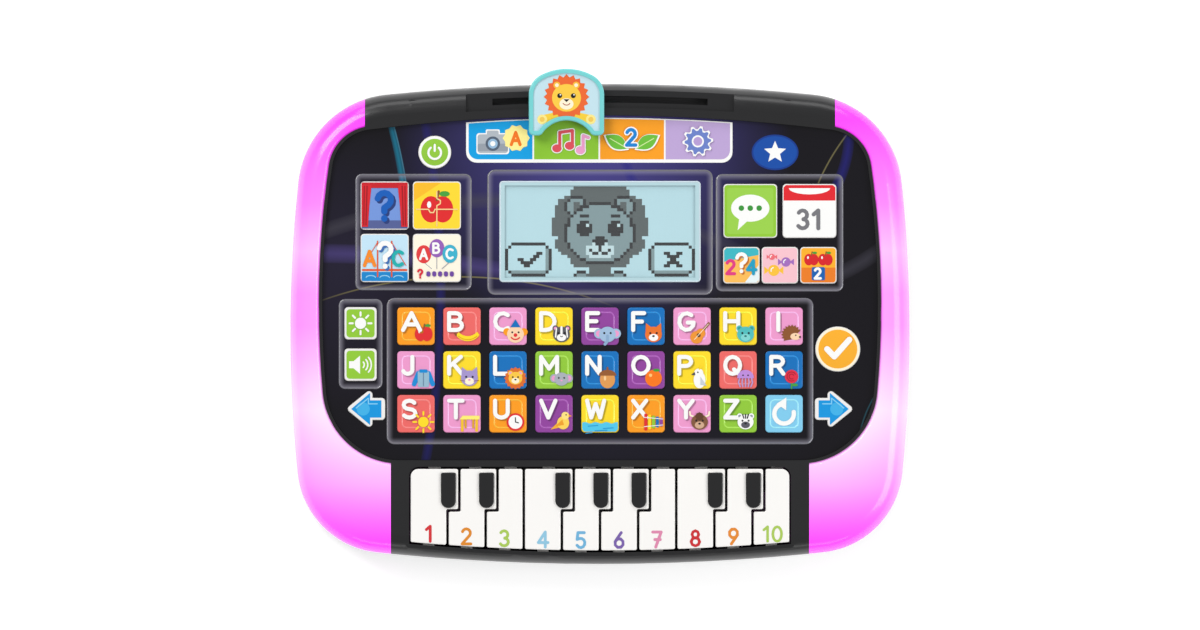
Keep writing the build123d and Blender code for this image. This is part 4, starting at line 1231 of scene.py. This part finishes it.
def mode_tabs():
    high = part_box("touch_panel")[1]
    z = high[2] / MM
    edge = high[1] / MM - 0.9
    bottom = 66.5
    radius = 800.0
    p = Print("print_mode_tabs", "case", 0, 0, z, "panel_film")

    def top(x):
        return edge - (radius - math.sqrt(radius * radius - x * x))

    spans = ((-56.5, -28.5), (-28.5, -0.3), (-0.3, 27.7), (27.7, 55.9))
    fills = ((0, 160, 226), (142, 200, 52), (250, 160, 30), (190, 166, 214))
    outline = [
        (-57.2, bottom + 4.5), *arc(-52.7, bottom + 3.8, 4.5, 4.5, 180, 270, 6),
        *arc(52.1, bottom + 3.8, 4.5, 4.5, 270, 360, 6), (56.6, top(56.6)),
    ]
    outline += [(x, top(x)) for x in (40, 20, 0, -20, -40)] + [(-57.2, top(57.2))]
    p.poly(outline, "white")
    for n, ((x0, x1), fill) in enumerate(zip(spans, fills)):
        a, b = x0 + 0.35, x1 - 0.35
        low_left = arc(a + 3.9, bottom + 4.6, 3.9, 3.9, 180, 270, 6) if n == 0 else [(a, bottom + 0.7)]
        low_right = arc(b - 3.9, bottom + 4.6, 3.9, 3.9, 270, 360, 6) if n == 3 else [(b, bottom + 0.7)]
        xs = [b - (b - a) * k / 6 for k in range(7)]
        p.poly(low_left + low_right + [(x, top(x) - 0.5) for x in xs], fill)
    y = bottom + 8.4
    p.z += 4 * LAYER
    camera_icon(p, -42.4, y)
    notes_icon(p, -14.6, y)
    leaves_icon(p, 13.6, y)
    gear_icon(p, 41.8, y)
    p.done()
    star = Print("print_star", "case", 74.8, 70.2, z, "panel_film")
    star.disc(0, 0, 10.0, (10, 56, 140), 7.6, 40)
    star.disc(0, 0, 9.3, (14, 76, 166), 6.9, 40)
    points = []
    for n in range(10):
        a = math.pi / 2 + math.pi * n / 5
        r = 4.9 if n % 2 == 0 else 2.2
        points.append((r * math.cos(a), r * math.sin(a)))
    star.poly(points, "white")
    star.done()


def frame_beads():
    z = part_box("touch_panel")[1][2] / MM
    edge = surface("frame_edge", (120, 119, 128), rough=0.12, coat=0.5, bump=0.02, spec=0.6)
    p = Print("frame_beads", "case", 0, 0, z, "panel_film")
    for (cx, cy), (w, h), r in FRAMES:
        p.ridge(cx, cy, w + 0.5, h + 0.5, r + 0.25, 0.7, 0.25, edge)
    p.done()
    low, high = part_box("screen_window")
    cx, cy = (low[0] + high[0]) / 2 / MM, (low[1] + high[1]) / 2 / MM
    rim = Print("screen_rim", "case", cx, cy, high[2] / MM, "clear_window")
    lcd = surface("lcd_edge", (182, 214, 221), rough=0.4, bump=0.02)
    for side in (-1, 1):
        rim.box(side * 41.6, 0, 1.8, 42.6, lcd, 0.2)
        rim.box(0, side * 20.5, 81.4, 1.6, lcd, 0.2)
    rim.z += 2 * LAYER
    rim.ridge(0, 0, 86.0, 43.2, 1.6, 0.7, 0.15, surface("screen_rim", (206, 222, 232), rough=0.2, coat=0.4))
    rim.done()


# ---- Screen --------------------------------------------------------------------------------------
def screen_dots():
    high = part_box("lcd_module")[1]
    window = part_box("screen_window")
    cx, cy = 0.0, (window[0][1] + window[1][1]) / 2 / MM
    p = Print("screen_dots", "case", cx, cy, high[2] / MM, "lcd_glass")
    dark, fur, face, pale = (14, 18, 20), (84, 94, 94), (130, 154, 158), (200, 226, 230)
    lit = {}

    def spot(cx, cy, rx, ry, tone):
        for column in range(math.floor(cx - rx), math.ceil(cx + rx) + 1):
            for row in range(math.floor(cy - ry), math.ceil(cy + ry) + 1):
                if ((column - cx) / rx) ** 2 + ((row - cy) / ry) ** 2 <= 1:
                    lit[column, row] = tone

    for n in range(12):
        a = math.pi * n / 6
        spot(11.6 * math.cos(a), 1.6 + 10.6 * math.sin(a), 4.3, 4.3, fur)
    spot(0, 1.5, 13.5, 12.6, fur)
    for side in (-1, 1):
        spot(side * 6.0, -15.4, 3.4, 2.6, dark)
        spot(side * 6.0, -15.4, 2.4, 1.6, face)
    for side in (-1, 1):
        spot(side * 7.6, 8.0, 3.7, 3.7, dark)
        spot(side * 7.6, 8.0, 2.7, 2.7, face)
        spot(side * 7.6, 8.0, 1.3, 1.3, fur)
    spot(0, -0.6, 11.4, 10.2, dark)
    spot(0, -0.6, 10.4, 9.2, face)
    spot(0, -6.2, 4.6, 2.6, pale)
    for side in (-1, 1):
        spot(side * 5, 0.8, 2.3, 2.5, dark)
        lit[side * 5 + 1, 2] = pale
        for k in (4, 5, 6):
            lit[side * k, 5] = dark
        for dx, dy in ((1, -7), (2, -7), (3, -6)):
            lit[side * dx, dy] = dark
    spot(0, -3.0, 2.1, 1.2, dark)
    for k in (-4, -5, -6):
        lit[0, k] = dark
    ticks = {-1: ((-3, 0), (-2, -1), (-1, -2), (0, -1), (1, 0), (2, 1), (3, 2)), 1: []}
    for k in (-2, -1, 0, 1, 2):
        ticks[1] += [(k, k), (k, -k)]
    for side in (-1, 1):
        ox, oy = side * 23, -9
        for dx in range(-7, 8):
            for dy in range(-5, 6):
                if abs(dx) + abs(dy) <= 10 and (abs(dx) == 7 or abs(dy) == 5 or abs(dx) + abs(dy) == 10):
                    lit[ox + dx, oy + dy] = dark
                elif abs(dx) + abs(dy) < 10 and (dx * side == -6 or dy == -4):
                    lit[ox + dx, oy + dy] = face
        for dx, dy in ticks[side]:
            for wide in (0, 1):
                lit[ox + dx + wide, oy + dy] = dark
    spot(0, -14.6, 4.4, 2.2, fur)
    index_of = {tone: p._ink(tone) for tone in (dark, fur, face, pale)}
    for (column, row), tone in lit.items():
        x, y, h = column * DOT, row * DOT, DOT * 0.499
        if abs(y) + h < 20.6 and abs(x) + h < 41:
            p._add([(x - h, y - h), (x + h, y - h), (x + h, y + h), (x - h, y + h)], index_of[tone])
    p.done()


# ---- Piano and slider ----------------------------------------------------------------------------
NUMBER_INKS = (
    (214, 50, 56), (226, 140, 44), (172, 204, 90), (146, 200, 226), (112, 180, 220),
    (124, 98, 172), (226, 140, 176), (206, 48, 52), (232, 140, 50), (172, 204, 90),
)


def piano():
    white = surface("piano_ivory", (252, 250, 247), rough=0.24, bump=0.03, coat=0.25, vary=0.03)
    black = surface("piano_ebony", (20, 20, 22), rough=0.22, bump=0.03, coat=0.3)
    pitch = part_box("piano_key_2")[0][0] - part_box("piano_key_1")[0][0]
    for n in range(1, 11):
        node = f"piano_key_{n}"
        obj = paint(node, white, black)
        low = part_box(node)[0]
        white_top = min(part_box(f"piano_key_{k}")[1][2] for k in (3, 7, 10))
        for polygon in obj.data.polygons:
            if polygon.center.z > white_top + 0.00002:
                polygon.material_index = 1
        x = (n - 5.5) * pitch / MM
        text = str(n % 10) if n < 10 else "10"
        p = Print("print_" + node, node, x, low[1] / MM + 3.2, white_top / MM, "piano_white")
        width = 6.4 if n < 10 else 6.2
        left = -1.9 if n < 10 else -3.3
        p.word(text, left - (0.0 if n != 1 else -1.0), 0, width, 1.25 if n < 10 else 1.1, NUMBER_INKS[n - 1])
        p.done()


def slider():
    rim = surface("slider_rim", (118, 212, 212), rough=0.3, bump=0.05, coat=0.2)
    field = surface("slider_field", (196, 226, 236), rough=0.35, bump=0.03)
    obj = paint("mode_slider", rim, field)
    low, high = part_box("mode_slider")
    tops = [p.center.z for p in obj.data.polygons if p.normal.z > FACING_UP]
    inner = sorted({round(z, 5) for z in tops if z > high[2] - 0.002})
    floor = inner[0]
    for polygon in obj.data.polygons:
        if polygon.normal.z > FACING_UP and abs(polygon.center.z - floor) < 0.00003:
            polygon.material_index = 1
    cx, cy = (low[0] + high[0]) / 2 / MM, (low[1] + high[1]) / 2 / MM
    p = Print("print_slider", "mode_slider", cx, cy + 2.2, floor / MM, "slider_turquoise")
    for side in (-1, 1):
        p.poly(
            [(side * 3, -6.2), (side * 9.6, -7.6), (side * 8.4, -9.4), (side * 9.4, -11.2), (side * 2, -8.6)],
            (246, 206, 60),
        )
        p.disc(side * 10.4, -9.6, 2.1, (250, 232, 140), count=18)
        p.disc(side * 10.4, -9.6, 1.1, (240, 200, 90), count=14)
    mane(p, 0, 0, 8.4, (236, 104, 48), 20)
    for side in (-1, 1):
        p.disc(side * 4.1, 5.0, 1.5, (246, 190, 60), count=16)
        p.disc(side * 4.1, 5.0, 0.8, "cream", count=12)
    p.disc(0, -0.4, 6.2, (250, 204, 70), 5.9)
    p.disc(0, -3.0, 3.0, "cream", 2.4, 22)
    for side in (-1, 1):
        p.disc(side * 2.9, 0.5, 1.05, "black", count=18)
        p.disc(side * 2.9 + 0.3, 0.9, 0.32, "white", count=10)
    p.poly([(-1.3, -1.0), (1.3, -1.0), (0, -2.2)], "black")
    p.line(arc(0, -2.4, 1.5, 1.1, 200, 340, 6), 0.35, (170, 60, 40))
    p.done()


letter_keys()
repeat_key()
round_keys()
arrow_keys()
setting_keys()
activity_prints()
mode_tabs()
frame_beads()
screen_dots()
piano()
slider()


# ---- Floor, lights and camera --------------------------------------------------------------------
def floor():
    mesh = bpy.data.meshes.new("floor")
    mesh.from_pydata(
        [(-3, -3, -0.0002), (3, -3, -0.0002), (3, 3, -0.0002), (-3, 3, -0.0002)], [], [(0, 1, 2, 3)],
    )
    material, tree, shader = new_material("floor_paper")
    tone = mix(tree, noise(tree, 8.0), (0.93, 0.93, 0.93, 1.0), (0.9, 0.9, 0.9, 1.0))
    link(tree, tone, shader.inputs["Base Color"])
    shader.inputs["Roughness"].default_value = 0.9
    shader.inputs["Specular IOR Level"].default_value = 0.1
    link(tree, tone, shader.inputs["Emission Color"])
    shader.inputs["Emission Strength"].default_value = 0.5
    mesh.materials.append(material)
    obj = bpy.data.objects.new("floor", mesh)
    bpy.context.scene.collection.objects.link(obj)


def area_light(name, at, size, energy, colour=(1, 1, 1)):
    data = bpy.data.lights.new(name, "AREA")
    data.shape = "RECTANGLE"
    data.size, data.size_y = size
    data.energy = energy
    data.color = colour
    obj = bpy.data.objects.new(name, data)
    obj.location = at
    obj.rotation_euler = (Vector((0, 0, 0.02)) - Vector(at)).to_track_quat("-Z", "Y").to_euler()
    bpy.context.scene.collection.objects.link(obj)


def studio():
    floor()
    world = bpy.data.worlds.new("studio")
    world.use_nodes = True
    world.node_tree.nodes["Background"].inputs[0].default_value = (1, 1, 1, 1)
    world.node_tree.nodes["Background"].inputs[1].default_value = 0.4
    bpy.context.scene.world = world
    area_light("key", (-0.9, 0.9, 1.3), (0.8, 0.8), 15)
    area_light("fill", (1.2, -0.3, 1.1), (0.9, 0.9), 10)
    area_light("back", (0.0, 1.5, 0.7), (1.6, 0.5), 7)
    area_light("front", (0.0, -1.6, 0.6), (1.6, 0.3), 3)
    data = bpy.data.cameras.new("camera")
    data.lens = 400
    data.sensor_width = 36
    camera = bpy.data.objects.new("camera", data)
    camera.location = (0, 0.0007, 0.031 + 0.2648 * 1200 / 620 * data.lens / data.sensor_width)
    data.clip_end = 20
    bpy.context.scene.collection.objects.link(camera)
    bpy.context.scene.camera = camera


bpy.context.scene.view_settings.view_transform = "Standard"
studio()
